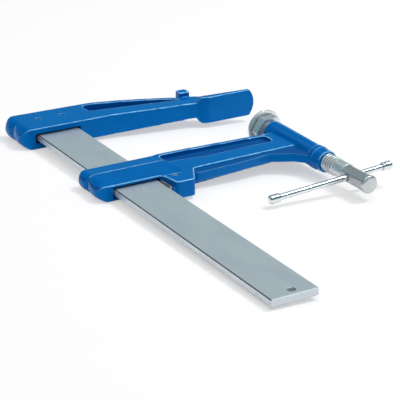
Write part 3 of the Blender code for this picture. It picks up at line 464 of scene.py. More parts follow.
screwLook = {
    "colour": (0.84, 0.87, 0.87, 1),
    "darkColour": (0.72, 0.75, 0.75, 1),
    "hollowShadeColour": (0.34, 0.34, 0.34, 1),
    "rootRadius": 0.0079,
    "metallic": 0.75,
    "roughness": {"Low": 0.28, "High": 0.42},
    "pitch": 0.00035,
    "markDepth": 0.000010,
}

rodLook = {
    "colour": (0.82, 0.84, 0.85, 1),
    "darkColour": (0.72, 0.74, 0.75, 1),
    "metallic": 1.0,
    "roughness": {"Low": 0.12, "High": 0.20},
    "pitch": 0.0006,
    "markDepth": 0.000001,
}

padLook = {
    "colour": (0.84, 0.87, 0.87, 1),
    "darkColour": (0.74, 0.77, 0.77, 1),
    "hollowShadeColour": (0.24, 0.25, 0.25, 1),
    "hollow": {"Reach": 0.005, "Full": 0.35, "Open": 0.80},
    "metallic": 0.80,
    "roughness": {"Low": 0.22, "High": 0.36},
    "pitch": 0.0005,
    "markDepth": 0.000010,
}


def makeTurnedSteel(name, look, shared):
    # bright turned metal with fine tool marks, with painted shade in hollows and at the roots of a thread
    material, tree = newMaterial(name, {"Metallic": look["metallic"]})
    marks = useGroup(tree, turningGroup, {"Pitch": look["pitch"], "Uneven": shared["uneven"]})
    cloud = useGroup(tree, grainGroup, shared["cloud"])
    gloss = useGroup(tree, grainGroup, {**shared["gloss"], **look["roughness"]})
    colour = mixColours(tree, cloud["Value"], look["darkColour"], look["colour"])
    if "hollow" in look:
        hollow = useGroup(tree, hollowShadeGroup, look["hollow"])["Mask"]
        colour = mixColours(tree, hollow, colour, look["hollowShadeColour"])
    if "rootRadius" in look:
        edge = look["rootRadius"]
        root = remap(tree, marks["Radius"], edge, edge + shared["rootFade"], shared["rootAmount"], 0.0,
                     "SMOOTHSTEP")
        colour = mixColours(tree, root, colour, look["hollowShadeColour"])
    return giveLook(material, colour, gloss["Value"], (gloss["Height"], *shared["glossBump"]),
                    (marks["Height"], look["markDepth"], shared["markStrength"]))


headLook = {
    "shader": {"Metallic": 0.80},
    "colour": (0.63, 0.66, 0.67, 1),
    "darkColour": (0.55, 0.58, 0.59, 1),
    "skinColour": (0.38, 0.41, 0.42, 1),
    "skinFrom": (-0.2812, -0.2808),  # along the axis, from where the flats keep their skin
    "cloud": {"Scale": 260.0, "Detail": 5.0},
    "gloss": {"Scale": 1500.0, "Detail": 4.0, "Low": 0.24, "High": 0.36},
    "milled": {"Scale": 2200.0, "Stretch": (1, 0.05, 1), "Detail": 2.0},
    "pits": {"Scale": 1900.0, "Detail": 6.0},
    "pitBump": (0.00025, 0.6),
    "milledBump": (0.00002, 0.3),
}


def makeHeadSteel(look):
    # satin end disc, and flats that keep the darker pitted skin of the forging
    material, tree = newMaterial("forgedHeadSteel", look["shader"])
    cloud, gloss, milled, pits = useGrains(tree, look, "cloud", "gloss", "milled", "pits")
    skin = remap(tree, coordinates(tree, "Object")["Y"], *look["skinFrom"])
    base = mixColours(tree, cloud["Value"], look["darkColour"], look["colour"])
    speckled = mixColours(tree, pits["Value"], look["skinColour"], look["darkColour"])
    pitted = multiplied(tree, pits["Height"], skin)
    return giveLook(material, mixColours(tree, skin, base, speckled), gloss["Value"],
                    (pitted, *look["pitBump"]), (milled["Height"], *look["milledBump"]))


hardSteelLook = {
    "shader": {"Metallic": 1.0},
    "colour": (0.46, 0.43, 0.37, 1),
    "darkColour": (0.30, 0.28, 0.24, 1),
    "wornColour": (0.62, 0.60, 0.56, 1),
    "cloud": {"Scale": 240.0, "Detail": 5.0},
    "ground": {"Scale": 3000.0, "Stretch": (1, 0.04, 1), "Detail": 2.0, "Low": 0.36, "High": 0.55},
    "wearAndHighlight": {"Start": 0.55, "End": 0.75, "Breakup": 500.0, "Amount": 0.6},
    "groundBump": (0.00002, 0.4),
}


def makeHardSteel(look):
    # hardened and tempered, straw to brown, with a ground grain
    material, tree = newMaterial("temperedSteel", look["shader"])
    cloud, ground = useGrains(tree, look, "cloud", "ground")
    wearAndHighlight = useGroup(tree, edgeWearAndHighlightGroup, look["wearAndHighlight"])["Mask"]
    base = mixColours(tree, cloud["Value"], look["darkColour"], look["colour"])
    return giveLook(material, mixColours(tree, wearAndHighlight, base, look["wornColour"]), ground["Value"],
                    (ground["Height"], *look["groundBump"]))


blueEnamel = makeBluePaint(paintLook)
drawnBarSteel = makeBarSteel(barSteelLook)
screwSteel = makeTurnedSteel("rolledScrewSteel", screwLook, turnedLook)
brightRod = makeTurnedSteel("brightZincRod", rodLook, turnedLook)
padZinc = makeTurnedSteel("turnedPadZinc", padLook, turnedLook)
headSteel = makeHeadSteel(headLook)
temperedSteel = makeHardSteel(hardSteelLook)
print("materials made")


# Mesh helpers

meshValues = {
    "arcStep": radians(12),  # largest turn between two points of a rounded corner
    "runShare": 0.49,  # of an edge, at most, for the arc at one of its ends
    "onAxis": 1e-7,
    "holeSteps": 48,
    "holeRim": 0.0004,
}


def filleted(corners, closed=True):
    # outline points whose corners (x, y, radius) become arcs
    points = []
    last = len(corners) - 1
    for index, (x, y, radius) in enumerate(corners):
        corner = Vector((x, y))
        if radius <= 0 or (not closed and index in (0, last)):
            points.append(corner)
            continue
        before = Vector(corners[index - 1][:2]) - corner
        after = Vector(corners[(index + 1) % len(corners)][:2]) - corner
        half = before.angle(after) / 2
        share = meshValues["runShare"]
        run = min(radius / tan(half), before.length * share, after.length * share)
        centre = corner + (before.normalized() + after.normalized()).normalized() * run / cos(half)
        start = corner + before.normalized() * run - centre
        end = corner + after.normalized() * run - centre
        sweep = start.angle_signed(end)
        count = max(1, ceil(abs(sweep) / meshValues["arcStep"]))
        for step in range(count + 1):
            points.append(centre + Matrix.Rotation(-sweep * step / count, 2) @ start)
    return points


def linkPiece(name, mesh):
    mesh.name = name
    return addObject(name, mesh)


def outward(mesh):
    work = bmesh.new()
    work.from_mesh(mesh)
    bmesh.ops.recalc_face_normals(work, faces=work.faces)
    work.to_mesh(mesh)
    work.free()


def faceted(name, verts, faces):
    mesh = bpy.data.meshes.new(name)
    mesh.from_pydata(verts, [], faces)
    outward(mesh)
    return linkPiece(name, mesh)


def turned(name, corners, steps=96, closed=False):
    # (radius, along) corners turned round the Y axis; a third number rounds its corner
    points = filleted([(*corner, 0)[:3] for corner in corners], closed)
    verts, faces, rings = [], [], []
    for radius, along in points:
        first = len(verts)
        if radius < meshValues["onAxis"]:
            verts.append((0, along, 0))
            rings.append([first] * steps)
            continue
        rings.append(list(range(first, first + steps)))
        for step in range(steps):
            angle = 2 * pi * step / steps
            verts.append((radius * sin(angle), along, radius * cos(angle)))
    if closed:
        rings.append(rings[0])
    for ringA, ringB in zip(rings, rings[1:]):
        for step in range(steps):
            after = (step + 1) % steps
            face = dict.fromkeys((ringA[step], ringA[after], ringB[after], ringB[step]))
            if len(face) > 2:
                faces.append(tuple(face))
    return faceted(name, verts, faces)


def turnedSolid(name, side, steps=96):
    # both ends are flat and closed up to the axis
    return turned(name, [(0, side[0][1]), *side, (0, side[-1][1])], steps)


def rod(name, radius, low, high, steps=96, fillet=0):
    return turnedSolid(name, [(radius, low, fillet), (radius, high, fillet)], steps)


def mirrored(end):
    # a profile with equal ends, from its upper end, which is listed outside in
    return [(across, -along, *soft) for across, along, *soft in end] + end[::-1]


def spread(start, stop, count):
    return [start + (stop - start) * step / count for step in range(count + 1)]


def ballSide(radius, along, angles):
    return [(radius * sin(angle), along + radius * cos(angle)) for angle in angles]


def spin(degrees, axis):
    return Matrix.Rotation(radians(degrees), 4, axis)


def upright(name, radius, place, reach, steps=meshValues["holeSteps"], rim=meshValues["holeRim"], fillet=0):
    # a round tool along Z with a small countersink at both ends of its reach
    end = [(radius + 2 * rim, reach + rim), (radius, reach - rim, fillet)]
    tool = turnedSolid(name, mirrored(end), steps)
    tool.data.transform(Matrix.Translation((*place, 0)) @ spin(90, "X"))
    return tool


def pieceFrom(name, work):
    mesh = bpy.data.meshes.new(name)
    work.to_mesh(mesh)
    work.free()
    return linkPiece(name, mesh)


def block(name, low, high):
    work = bmesh.new()
    size = Vector(high) - Vector(low)
    centre = (Vector(high) + Vector(low)) / 2
    bmesh.ops.create_cube(work, size=1, matrix=Matrix.Translation(centre) @ Matrix.Diagonal((*size, 1)))
    return pieceFrom(name, work)


def cutBy(piece, tool, operation="DIFFERENCE"):
    assign(piece.modifiers.new(tool.name, "BOOLEAN"), operation=operation, object=tool, solver="EXACT")


def bevel(piece, width, segments, angle=radians(30)):
    assign(piece.modifiers.new("rounding", "BEVEL"), width=width, segments=segments, limit_method="ANGLE",
           angle_limit=angle, use_clamp_overlap=True)


def settle(piece, *tools):
    # turns the modifiers into plain mesh and drops the tools
    bpy.context.view_layer.update()
    graph = bpy.context.evaluated_depsgraph_get()
    mesh = bpy.data.meshes.new_from_object(piece.evaluated_get(graph), depsgraph=graph)
    mesh.validate()
    piece.modifiers.clear()
    piece.data = mesh
    for tool in tools:
        bpy.data.objects.remove(tool, do_unlink=True)
    return piece


def carve(piece, *tools, operation="DIFFERENCE"):
    for tool in tools:
        cutBy(piece, tool, operation)
    settle(piece, *tools)


def shade(piece, angle=radians(35)):
    piece.data.shade_smooth()
    piece.data.set_sharp_from_angle(angle=angle)
    piece.modifiers.new("weighting", "WEIGHTED_NORMAL").keep_sharp = True


def dress(piece, material, body, slotName, *replaced):
    # the piece's material, the body that it rides on and the solid that it stands for
    piece.data.materials.clear()
    piece.data.materials.append(material)
    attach(piece, body)
    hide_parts(*replaced)


# Bar

barPlan = {
    "edge": 0.0009,
    "edgeSteps": 1,
    "holeRadius": 0.0036,
    "holeRim": 0.0006,
    "holeSteps": 64,
    "holeFromEnd": 0.0090,
    "holeOffset": 0.0015,
    "thickness": 0.008,
}


def makeBar(plan):
    low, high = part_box("bar")
    bar = block("flat_bar", low, high)
    bevel(bar, plan["edge"], plan["edgeSteps"])
    place = ((low.x + high.x) / 2 + plan["holeOffset"], low.y + plan["holeFromEnd"])
    carve(bar, upright("bar_hole", plan["holeRadius"], place, plan["thickness"] / 2, plan["holeSteps"],
                       plan["holeRim"], plan["holeRim"]))
    shade(bar)
    dress(bar, drawnBarSteel, "rail", "bar_steel", "bar")


makeBar(barPlan)
print("bar made")


# Jaws: the solid's own form, melted a little as a forging's is

forgingPlan = {
    "voxel": 0.00075,
    "smoothing": 4,
    "melt": 0.5,
    "sharp": radians(50),
    "fillMargin": 0.001,  # by which a filler is wider than the hollow that it fills
    "slotOverrun": 0.004,
}

fixedJawPlan = {
    "slotLow": (-0.240, 0.013, -0.005),
    "slotHigh": (-0.184, 0.068, 0.005),
    "slotMouth": 0.0018,
    "slotFillRise": 0.001,
    "pins": ((-0.222, 0.044), (-0.193, 0.044)),
    "pinRadius": 0.0031,
    "pinFillInset": 0.0005,
    "halfHeight": 0.012,
    "endRun": 0.012,  # length and depth of the soft shoulder at the housing's end
    "endDrop": 0.42,
    "lobes": (0.013, 0.0444, 0.068),  # near side, crease and far side of the two lobes
    "lobeDepth": 0.0028,
}

slidingJawPlan = {
    "slotLow": (-0.238, -0.1715, -0.0044),
    "slotHigh": (-0.184, -0.1165, 0.0044),
    "slotMouth": 0.0026,
    "slotFillRise": 0.003,
    "ridgeY": -0.1380,
    "ridgeEnd": -0.158,
    "ridgeFade": 0.006,
    "ridgeMargin": 0.003,
    "ridgeHeight": 0.0003,
    "ridgeWidth": 0.0013,
    "farSlope": 0.040,
    "nearSlope": 0.025,
    "endRun": 0.012,
    "endDrop": 0.40,
    "lobes": (-0.1715, -0.1402, -0.1165),
    "lobeDepth": 0.0028,
    "pin": (-0.170, -0.178),
    "pinRadius": 0.0023,
    "pinFillInset": 0.0015,
    "halfHeight": 0.0095,
    "pocketLow": (-0.186, -0.1950, -0.0025),
    "pocketHigh": (-0.1649, -0.1715, 0.0025),
    "pocketFillFrom": 0.0555,  # along X, from the slot's end
    "pocketFillHalf": 0.004,
    "pocketFillGrow": (0.001, -0.003, 0.0015),
}

borePlan = {
    "radius": 0.0107,
    "low": -0.210,
    "high": -0.103,
    "threadLength": 0.028,
    "threadFit": 0.00035,
    "mouthInset": 0.0006,
    "mouthRise": 0.0014,
    "mouthFlare": 0.002,
    "leadOut": 0.002,  # the countersink in front of the thread
    "leadFlare": 0.0014,
    "leadWaist": 0.001,
    "leadIn": 0.0004,
    "skin": 0.0001,
    "overlap": 0.0003,
    "steps": 72,
}

beadPlan = {
    "radius": 0.0007,
    "run": (-0.2395, -0.1590),
    "taper": 0.006,
    "tipShares": (0.5, 0.3),
    "fillet": 0.02,
    "steps": 24,
}

threadPlan = {
    "pitch": 0.004,
    "radius": 0.010,
    "depth": 0.00225,
    "flank": radians(15),
    "crest": 0.000732,
    "crestFitShare": 0.8,
    "soft": 0.00018,
    "steps": 60,
    "spareTurns": 2,
    "weld": 0.000002,
}


def forged(name, node, fillers, plan):
    # one skin over the solid and the fillers of its slots, with soft edges
    work = bmesh.new()
    work.from_mesh(nodes[node].data)
    for filler in fillers:
        work.from_mesh(filler.data)
        bpy.data.objects.remove(filler, do_unlink=True)
    jaw = pieceFrom(name, work)
    assign(jaw.modifiers.new("skin", "REMESH"), mode="VOXEL", voxel_size=plan["voxel"])
    assign(jaw.modifiers.new("melt", "SMOOTH"), factor=plan["melt"], iterations=plan["smoothing"])
    return settle(jaw)


def slotFiller(plan, forging):
    grow = Vector((forging["fillMargin"], 0, plan["slotFillRise"]))
    return block("fill", Vector(plan["slotLow"]) - grow, Vector(plan["slotHigh"]) + grow)


def pinFiller(place, plan, forging):
    radius = plan["pinRadius"] + forging["fillMargin"]
    return upright("fill", radius, place, plan["halfHeight"] - plan["pinFillInset"], rim=0.0)


def slotTool(plan, overrun):
    # the bar's passage, with a flared mouth on both sides
    low, high = Vector(plan["slotLow"]), Vector(plan["slotHigh"])
    half, mouth = high.z, plan["slotMouth"]
    section = [(low.y - overrun, half + 2 * mouth), (low.y + mouth, half), (high.y - mouth, half),
               (high.y + overrun, half + 2 * mouth)]
    outline = section + [(y, -z) for y, z in reversed(section)]
    count = len(outline)
    verts = [(low.x, y, z) for y, z in outline] + [(high.x, y, z) for y, z in outline]
    faces = [tuple(range(count)), tuple(range(2 * count - 1, count - 1, -1))]
    faces += [(i, (i + 1) % count, count + (i + 1) % count, count + i) for i in range(count)]
    return faceted("slot", verts, faces)


def roundEnd(mesh, plan):
    # the housing's broad sides curve down towards its outer end, where two lobes bulge out
    end = min(vert.co.x for vert in mesh.vertices)
    low, middle, high = plan["lobes"]
    for vert in mesh.vertices:
        reach = min(1.0, (end + plan["endRun"] - vert.co.x) / plan["endRun"])
        if reach > 0:
            vert.co.z *= 1 - plan["endDrop"] * (1 - sqrt(1 - reach * reach))
            side = low if vert.co.y < middle else high
            off = (vert.co.y - (side + middle) / 2) / ((side - middle) / 2)
            vert.co.x += plan["lobeDepth"] * reach * min(1.0, off * off)


def foldHousing(mesh, plan):
    # the housing's broad sides meet in a low ridge, which sinks away where the groove starts
    for vert in mesh.vertices:
        co = vert.co
        fade = min(1.0, max(0.0, (plan["ridgeEnd"] - co.x) / plan["ridgeFade"]))
        if fade <= 0 or co.y < plan["slotLow"][1] - plan["ridgeMargin"]:
            continue
        off = co.y - plan["ridgeY"]
        drop = plan["farSlope"] * off if off > 0 else -plan["nearSlope"] * off
        drop -= plan["ridgeHeight"] * exp(-(off / plan["ridgeWidth"]) ** 2)
        co.z *= 1 - fade * drop / plan["halfHeight"]


def cutJaw(jaw, tools, forging, body, node):
    carve(jaw, *tools)
    jaw.data.shade_smooth()
    jaw.data.set_sharp_from_angle(angle=forging["sharp"])
    dress(jaw, blueEnamel, body, "blue_paint", node)
    return jaw


def makeFixedJaw(plan, forging):
    fillers = [slotFiller(plan, forging)] + [pinFiller(pin, plan, forging) for pin in plan["pins"]]
    jaw = forged("fixed_jaw_forging", "fixed_jaw", fillers, forging)
    roundEnd(jaw.data, plan)
    tools = [slotTool(plan, forging["slotOverrun"])]
    tools += [upright("pin_hole", plan["pinRadius"], pin, plan["halfHeight"]) for pin in plan["pins"]]
    return cutJaw(jaw, tools, forging, "rail", "fixed_jaw")


def threadTool(name, low, high, plan, fit=0.0):
    # a right-hand trapezoidal thread along Y with fine facets, in step with every other one here
    pitch, steps, depth, soft = plan["pitch"], plan["steps"], plan["depth"], plan["soft"]
    outer = plan["radius"] + fit
    crest = plan["crest"] + plan["crestFitShare"] * fit
    foot = crest + depth * tan(plan["flank"])
    shoulder = soft * tan(plan["flank"])
    shape = [(outer - depth, -pitch / 2), (outer - depth, -foot), (outer - soft, -crest - shoulder),
             (outer, -crest + soft), (outer, crest - soft), (outer - soft, crest + shoulder),
             (outer - depth, foot), (outer - depth, pitch / 2)]
    first = int(low // pitch) - plan["spareTurns"]
    turns = int((high - low) // pitch) + 2 * plan["spareTurns"]
    verts, faces = [], []
    for step in range(turns * steps + 1):
        angle = 2 * pi * step / steps
        lift = (first + step / steps + 0.5) * pitch
        for radius, along in shape:
            verts.append((radius * cos(angle), lift + along, -radius * sin(angle)))
    wide = len(shape)
    for step in range(turns * steps):
        for index in range(wide - 1):
            start = step * wide + index
            faces.append((start, start + 1, start + wide + 1, start + wide))
    mesh = bpy.data.meshes.new(name)
    mesh.from_pydata(verts, [], faces)
    work = bmesh.new()
    work.from_mesh(mesh)
    bmesh.ops.remove_doubles(work, verts=work.verts, dist=plan["weld"])
    rims = [edge for edge in work.edges if edge.is_boundary]
    caps = bmesh.ops.holes_fill(work, edges=rims, sides=0)["faces"]
    bmesh.ops.triangulate(work, faces=caps)
    bmesh.ops.recalc_face_normals(work, faces=work.faces)
    work.to_mesh(mesh)
    work.free()
    return linkPiece(name, mesh)


def boreTools(plan, threading):
    # a plain bore with a flared mouth at the pad's end, and a thread at the other end
    radius, low = plan["radius"], plan["low"]
    start = low + plan["threadLength"]
    mouth = plan["high"] + plan["mouthRise"]
    bore = turnedSolid("bore", [(radius, start), (radius, plan["high"] - plan["mouthInset"]),
                                (radius + plan["mouthFlare"], mouth)], plan["steps"])
    thread = threadTool("bore_thread", low, start, threading, plan["threadFit"])
    out, lead, end = low - plan["leadOut"], low + plan["leadIn"], start + plan["overlap"]
    limit = turnedSolid("bore_limit", [(radius + plan["leadFlare"], out), (radius - plan["leadWaist"], lead),
                                       (radius + plan["skin"], lead), (radius + plan["skin"], end)],
                        plan["steps"])
    carve(thread, limit, operation="INTERSECT")
    return [bore, thread]


def makeSlidingJaw(plan, forging, bore, threading):
    margin = forging["fillMargin"]
    low = (Vector(plan["slotLow"]).x + plan["pocketFillFrom"], plan["pocketLow"][1] - margin,
           -plan["pocketFillHalf"])
    high = Vector(plan["pocketHigh"]) + Vector(plan["pocketFillGrow"])
    fillers = [slotFiller(plan, forging), pinFiller(plan["pin"], plan, forging), block("fill", low, high),
               rod("fill", bore["radius"] + margin, bore["low"], bore["high"])]
    jaw = forged("sliding_jaw_forging", "sliding_jaw", fillers, forging)
    foldHousing(jaw.data, plan)
    roundEnd(jaw.data, plan)
    tools = [slotTool(plan, forging["slotOverrun"]), block("pocket", plan["pocketLow"], plan["pocketHigh"]),
             upright("pin_hole", plan["pinRadius"], plan["pin"], plan["halfHeight"])]
    tools += boreTools(bore, threading)
    return cutJaw(jaw, tools, forging, "slider", "sliding_jaw")


def makeRidgeBeads(plan, jaw):
    # the thin raised line along each ridge of the housing
    radius, taper, fillet = plan["radius"], plan["taper"], plan["fillet"]
    start, stop = plan["run"]
    length = stop - start
    thin, near = plan["tipShares"]
    tip = [(0, 0, 0), (radius * thin, taper * near, fillet), (radius, taper, fillet)]
    side = tip + [(across, length - along, soft) for across, along, soft in reversed(tip)]
    for name, half in (("ridge_bead_top", 1), ("ridge_bead_bottom", -1)):
        bead = turned(name, side, plan["steps"])
        place = Matrix.Translation((start, jaw["ridgeY"], half * (jaw["halfHeight"] + jaw["ridgeHeight"])))
        bead.data.transform(place @ spin(-90, "Z"))
        shade(bead)
        dress(bead, blueEnamel, "slider", "blue_paint", "sliding_jaw")


fixedJaw = makeFixedJaw(fixedJawPlan, forgingPlan)
print("fixed jaw made:", len(fixedJaw.data.polygons), "faces")
slidingJaw = makeSlidingJaw(slidingJawPlan, forgingPlan, borePlan, threadPlan)
makeRidgeBeads(beadPlan, slidingJawPlan)
print("sliding jaw made:", len(slidingJaw.data.polygons), "faces")


# Pins and grip insert

pinPlan = {
    "dome": 0.0004,
    "domeShare": 0.55,
    "domeFillet": 0.004,
    "edgeFillet": 0.0005,
    "steps": 48,
}


def makeUprightPin(name, node, material, body, slotName, plan):
    low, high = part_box(node)
    radius = (high.x - low.x) / 2
    half = (high.z - low.z) / 2
    shoulder = half - plan["dome"]
    end = [(radius * plan["domeShare"], half, plan["domeFillet"]), (radius, shoulder, plan["edgeFillet"])]
    pin = turnedSolid(name, mirrored(end), plan["steps"])
    pin.matrix_world = Matrix.Translation((low + high) / 2) @ spin(90, "X")
    shade(pin)
    dress(pin, material, body, slotName, node)


makeUprightPin("fixed_pin_outer", "fixed_jaw_pin_outer", blueEnamel, "rail", "blue_paint", pinPlan)
makeUprightPin("fixed_pin_inner", "fixed_jaw_pin_inner", blueEnamel, "rail", "blue_paint", pinPlan)
makeUprightPin("grip_pin", "grip_insert_pin", temperedSteel, "slider", "hard_steel", pinPlan)

gripPlan = {
    "plate": 0.0024,
    "tongueHalf": 0.0022,
    "tongueInset": 0.0005,
    "edge": 0.0004,
    "edgeSteps": 2,
}


def makeGripInsert(plan, jaw):
    low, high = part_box("grip_insert")
    insert = block("grip_plate", low, (low.x + plan["plate"], high.y, high.z))
    tongue = block("grip_tongue", (low.x + plan["plate"] / 2, low.y + plan["plate"], -plan["tongueHalf"]),
                   (high.x, high.y - plan["tongueInset"], plan["tongueHalf"]))
    cutBy(insert, tongue, "UNION")
    hole = upright("hole", jaw["pinRadius"], jaw["pin"], plan["tongueHalf"], rim=0.0)
    cutBy(insert, hole)
    bevel(insert, plan["edge"], plan["edgeSteps"])
    settle(insert, tongue, hole)
    shade(insert)
    dress(insert, temperedSteel, "slider", "hard_steel", "grip_insert")


makeGripInsert(gripPlan, slidingJawPlan)
print("pins and grip insert made")


# Spindle

spindlePlan = {
    "threadFront": -0.1015,
    "threadEnd": -0.230,
    "shankRadius": 0.0096,
    "shankEnd": -0.246,
    "shankFillet": 0.0008,
    "shankEdge": 0.0004,
    "coreInset": 0.0004,
    "shoulderRun": 0.0012,
    "coreRun": 0.004,
    "neckFrom": 0.006,
    "neckRadius": 0.004,
    "ballRadius": 0.0058,
    "ballY": -0.0934,
    "ballSteps": 16,
    "limitSkin": 0.0003,  # the thread's ends run out in cones
    "runout": (0.0006, 0.0026),
    "leadInset": 0.0006,
    "steps": 72,
    "sharp": radians(32),
}


def makeScrew(plan, threading):
    radius, depth = threading["radius"], threading["depth"]
    core = radius - depth
    far, near = plan["threadFront"], plan["threadEnd"]
    neck, ball = plan["neckRadius"], plan["ballRadius"]
    start = -asin(sqrt(ball ** 2 - neck ** 2) / ball)
    arc = spread(start, pi / 2, plan["ballSteps"])
    inner = core - plan["coreInset"]
    side = [(0, plan["shankEnd"]), (plan["shankRadius"], plan["shankEnd"], plan["shankFillet"]),
            (plan["shankRadius"], near - plan["shankEdge"], plan["shankEdge"]),
            (inner, near + plan["shoulderRun"], plan["shankEdge"]), (inner, near + plan["coreRun"]),
            (neck, near + plan["neckFrom"])]
    side += [(ball * cos(angle), plan["ballY"] + ball * sin(angle)) for angle in arc[:-1]]
    side.append((0, plan["ballY"] + ball))
    screw = turned("spindle_screw", side, plan["steps"])
    thread = threadTool("spindle_thread", near, far, threading)
    skin, (runStart, runEnd) = plan["limitSkin"], plan["runout"]
    limit = turned("thread_limit", [(0, near), (core + skin, near + runStart), (radius + skin, near + runEnd),
                                    (radius + skin, far - depth - skin), (core - plan["leadInset"], far),
                                    (0, far)], plan["steps"])
    carve(thread, limit, operation="INTERSECT")
    carve(screw, thread, operation="UNION")
    shade(screw, plan["sharp"])
    dress(screw, screwSteel, "screw", "spindle_steel", "spindle")


headPlan = {
    "acrossFlats": 0.017,
    "flatsEnd": -0.2815,
    "discOverlap": 0.0003,
    "shankOverlap": 0.0006,
    "stockOverrun": 0.002,
    "coneFoot": 0.0002,
    "coneTop": 0.0004,
    "discCone": 0.0012,
    "shankCone": 0.0016,
    "stockInset": 0.0001,
    "discEnd": -0.2865,
    "discRadius": 0.0098,
    "dome": 0.0016,
    "domeSide": ((0.45, 0.0001, 0.02), (0.86, 0.00088, 0.006)),  # share of the radius, rise, rounding
    "rimRise": 0.0008,
    "rimFillet": 0.0018,
    "backFillet": 0.0007,
    "edge": 0.0003,
    "edgeSteps": 2,
    "holeRadius": 0.0038,
    "holeY": -0.255,
    "holeReach": 0.012,
    "holeRim": 0.0004,
    "holeFlare": 0.0008,
    "tilt": radians(3.2),
    "steps": 72,
    "sharp": radians(32),
}


def crossPlace(plan):
    # from a piece's own Y axis to the head's cross hole
    turn = Matrix.Rotation(-plan["tilt"], 4, "Y") @ spin(-90, "Z")
    return Matrix.Translation((0, plan["holeY"], 0)) @ turn


def makeHead(plan, spindle):
    half = plan["acrossFlats"] / 2
    corner = half / cos(pi / 6)
    near, far = plan["flatsEnd"], spindle["shankEnd"]
    head = rod("spindle_head", corner, near - plan["discOverlap"], far + plan["shankOverlap"], 6)
    head.data.transform(Matrix.Rotation(-plan["tilt"], 4, "Y"))
    # the forging's corners run out into the round shank and the disc in shallow cones
    waist, overrun = spindle["shankRadius"] - plan["stockInset"], plan["stockOverrun"]
    stock = turnedSolid("stock", [(half + plan["coneFoot"], near - overrun), (half + plan["coneTop"], near),
                                  (waist, near + plan["discCone"]), (waist, far - plan["shankCone"]),
                                  (half + plan["coneFoot"], far + overrun)], plan["steps"])
    cutBy(head, stock, "INTERSECT")
    radius, end = plan["discRadius"], plan["discEnd"]
    side = [(0, end)]
    side += [(radius * share, end + rise, fillet) for share, rise, fillet in plan["domeSide"]]
    side += [(radius, end + plan["dome"] + plan["rimRise"], plan["rimFillet"]),
             (radius, near, plan["backFillet"]), (0, near)]
    disc = turned("disc", side, plan["steps"])
    cutBy(head, disc, "UNION")
    settle(head, stock, disc)
    bevel(head, plan["edge"], plan["edgeSteps"], plan["sharp"])
    settle(head)
    place = crossPlace(plan)
    steps = meshValues["holeSteps"]
    hole = rod("cross_hole", plan["holeRadius"], -plan["holeReach"], plan["holeReach"], steps)
    hole.data.transform(place)
    tools = [hole]
    low, high = half - plan["holeRim"], half + plan["holeRim"]
    flare = [(plan["holeRadius"], low), (plan["holeRadius"] + plan["holeFlare"], high)]
    for mirror in (-1, 1):
        rim = turnedSolid("hole_rim", flare, steps)
        rim.data.transform(place @ Matrix.Diagonal((1, mirror, 1, 1)))
        outward(rim.data)
        tools.append(rim)
    carve(head, *tools)
    shade(head, plan["sharp"])
    dress(head, headSteel, "screw", "spindle_steel", "spindle")


makeScrew(spindlePlan, threadPlan)
makeHead(headPlan, spindlePlan)
print("spindle made")


# Tommy bar, built along its own Y axis

tommyPlan = {
    "radius": 0.00325,
    "rodFillet": 0.0006,
    "rodSteps": 48,
    "rodInset": 0.0025,
    "longSide": 0.1045,
    "shortSide": 0.0505,
    "knobRadius": 0.0048,
    "knobLength": 0.013,
    # a collar, a shallow waist and a rounded end: share of the radius, place from the collar, rounding
    "knobSide": ((0.90, 0.0002, 0.0005), (1.0, 0.0022, 0.0012), (0.93, 0.0048, 0.003), (1.0, 0.0080, 0.003)),
    "knobTip": ((1.0, 0.0022, 0.002), (0.62, 0.0, 0.0016)),  # the same, with the place from the tip
    "knobGap": 0.0002,
    "knobCap": 0.002,
    "knobSteps": 64,
}


def makeTommyBar(plan, head):
    place = crossPlace(head)
    radius = plan["radius"]
    low, high = -plan["longSide"] + plan["rodInset"], plan["shortSide"] - plan["rodInset"]
    bar = rod("tommy_rod", radius, low, high, plan["rodSteps"], plan["rodFillet"])
    bar.matrix_world = place
    shade(bar)
    dress(bar, brightRod, "handle", "plated_steel", "tommy_bar")
    big, length = plan["knobRadius"], plan["knobLength"]
    inner, cap = radius + plan["knobGap"], length - plan["knobCap"]
    shape = [(inner, 0)]
    shape += [(big * share, along, fillet) for share, along, fillet in plan["knobSide"]]
    shape += [(big * share, length - back, fillet) for share, back, fillet in plan["knobTip"]]
    shape += [(0, length), (0, cap), (inner, cap)]
    for name, node, side, reach in (("tommy_knob_left", "tommy_bar_end_left", -1, plan["longSide"]),
                                    ("tommy_knob_right", "tommy_bar_end_right", 1, plan["shortSide"])):
        knob = turned(name, shape, plan["knobSteps"], closed=True)
        if side < 0:
            knob.data.transform(spin(180, "Z"))
        knob.matrix_world = place @ Matrix.Translation((0, side * (reach - length), 0))
        shade(knob)
        dress(knob, brightRod, "handle", "plated_steel", node)


makeTommyBar(tommyPlan, headPlan)
print("tommy bar made")


# Pad and cup

padPlan = {
    "radius": 0.0215,
    "face": -0.0835,
    "flange": -0.0865,
    "back": -0.0985,
    "acrossFlats": 0.032,
    "cornerFillet": 0.0012,
    "flangeOverlap": 0.0008,
    "coneStart": 0.001,
    "coneInset": 0.0006,
    "coneTop": 0.0002,
    "coneRun": 0.0016,
    "coneMargin": 0.001,
    "bevel": 0.00035,
    "bevelSteps": 2,
    "bevelAngle": radians(28),
    "flangeMargin": 0.0004,
    "flangeFillet": 0.0005,
    "flangeSlope": 0.0002,
    "edge": 0.0008,
    "ring": ((0.62, 0.0), (0.60, 0.0004), (0.57, 0.0004), (0.55, 0.0)),  # groove in the face: share, depth
    "socketRadius": 0.0079,
    "socketSteps": 14,
    "mouthRim": 0.0006,
    "steps": 64,
    "sharp": radians(30),
}


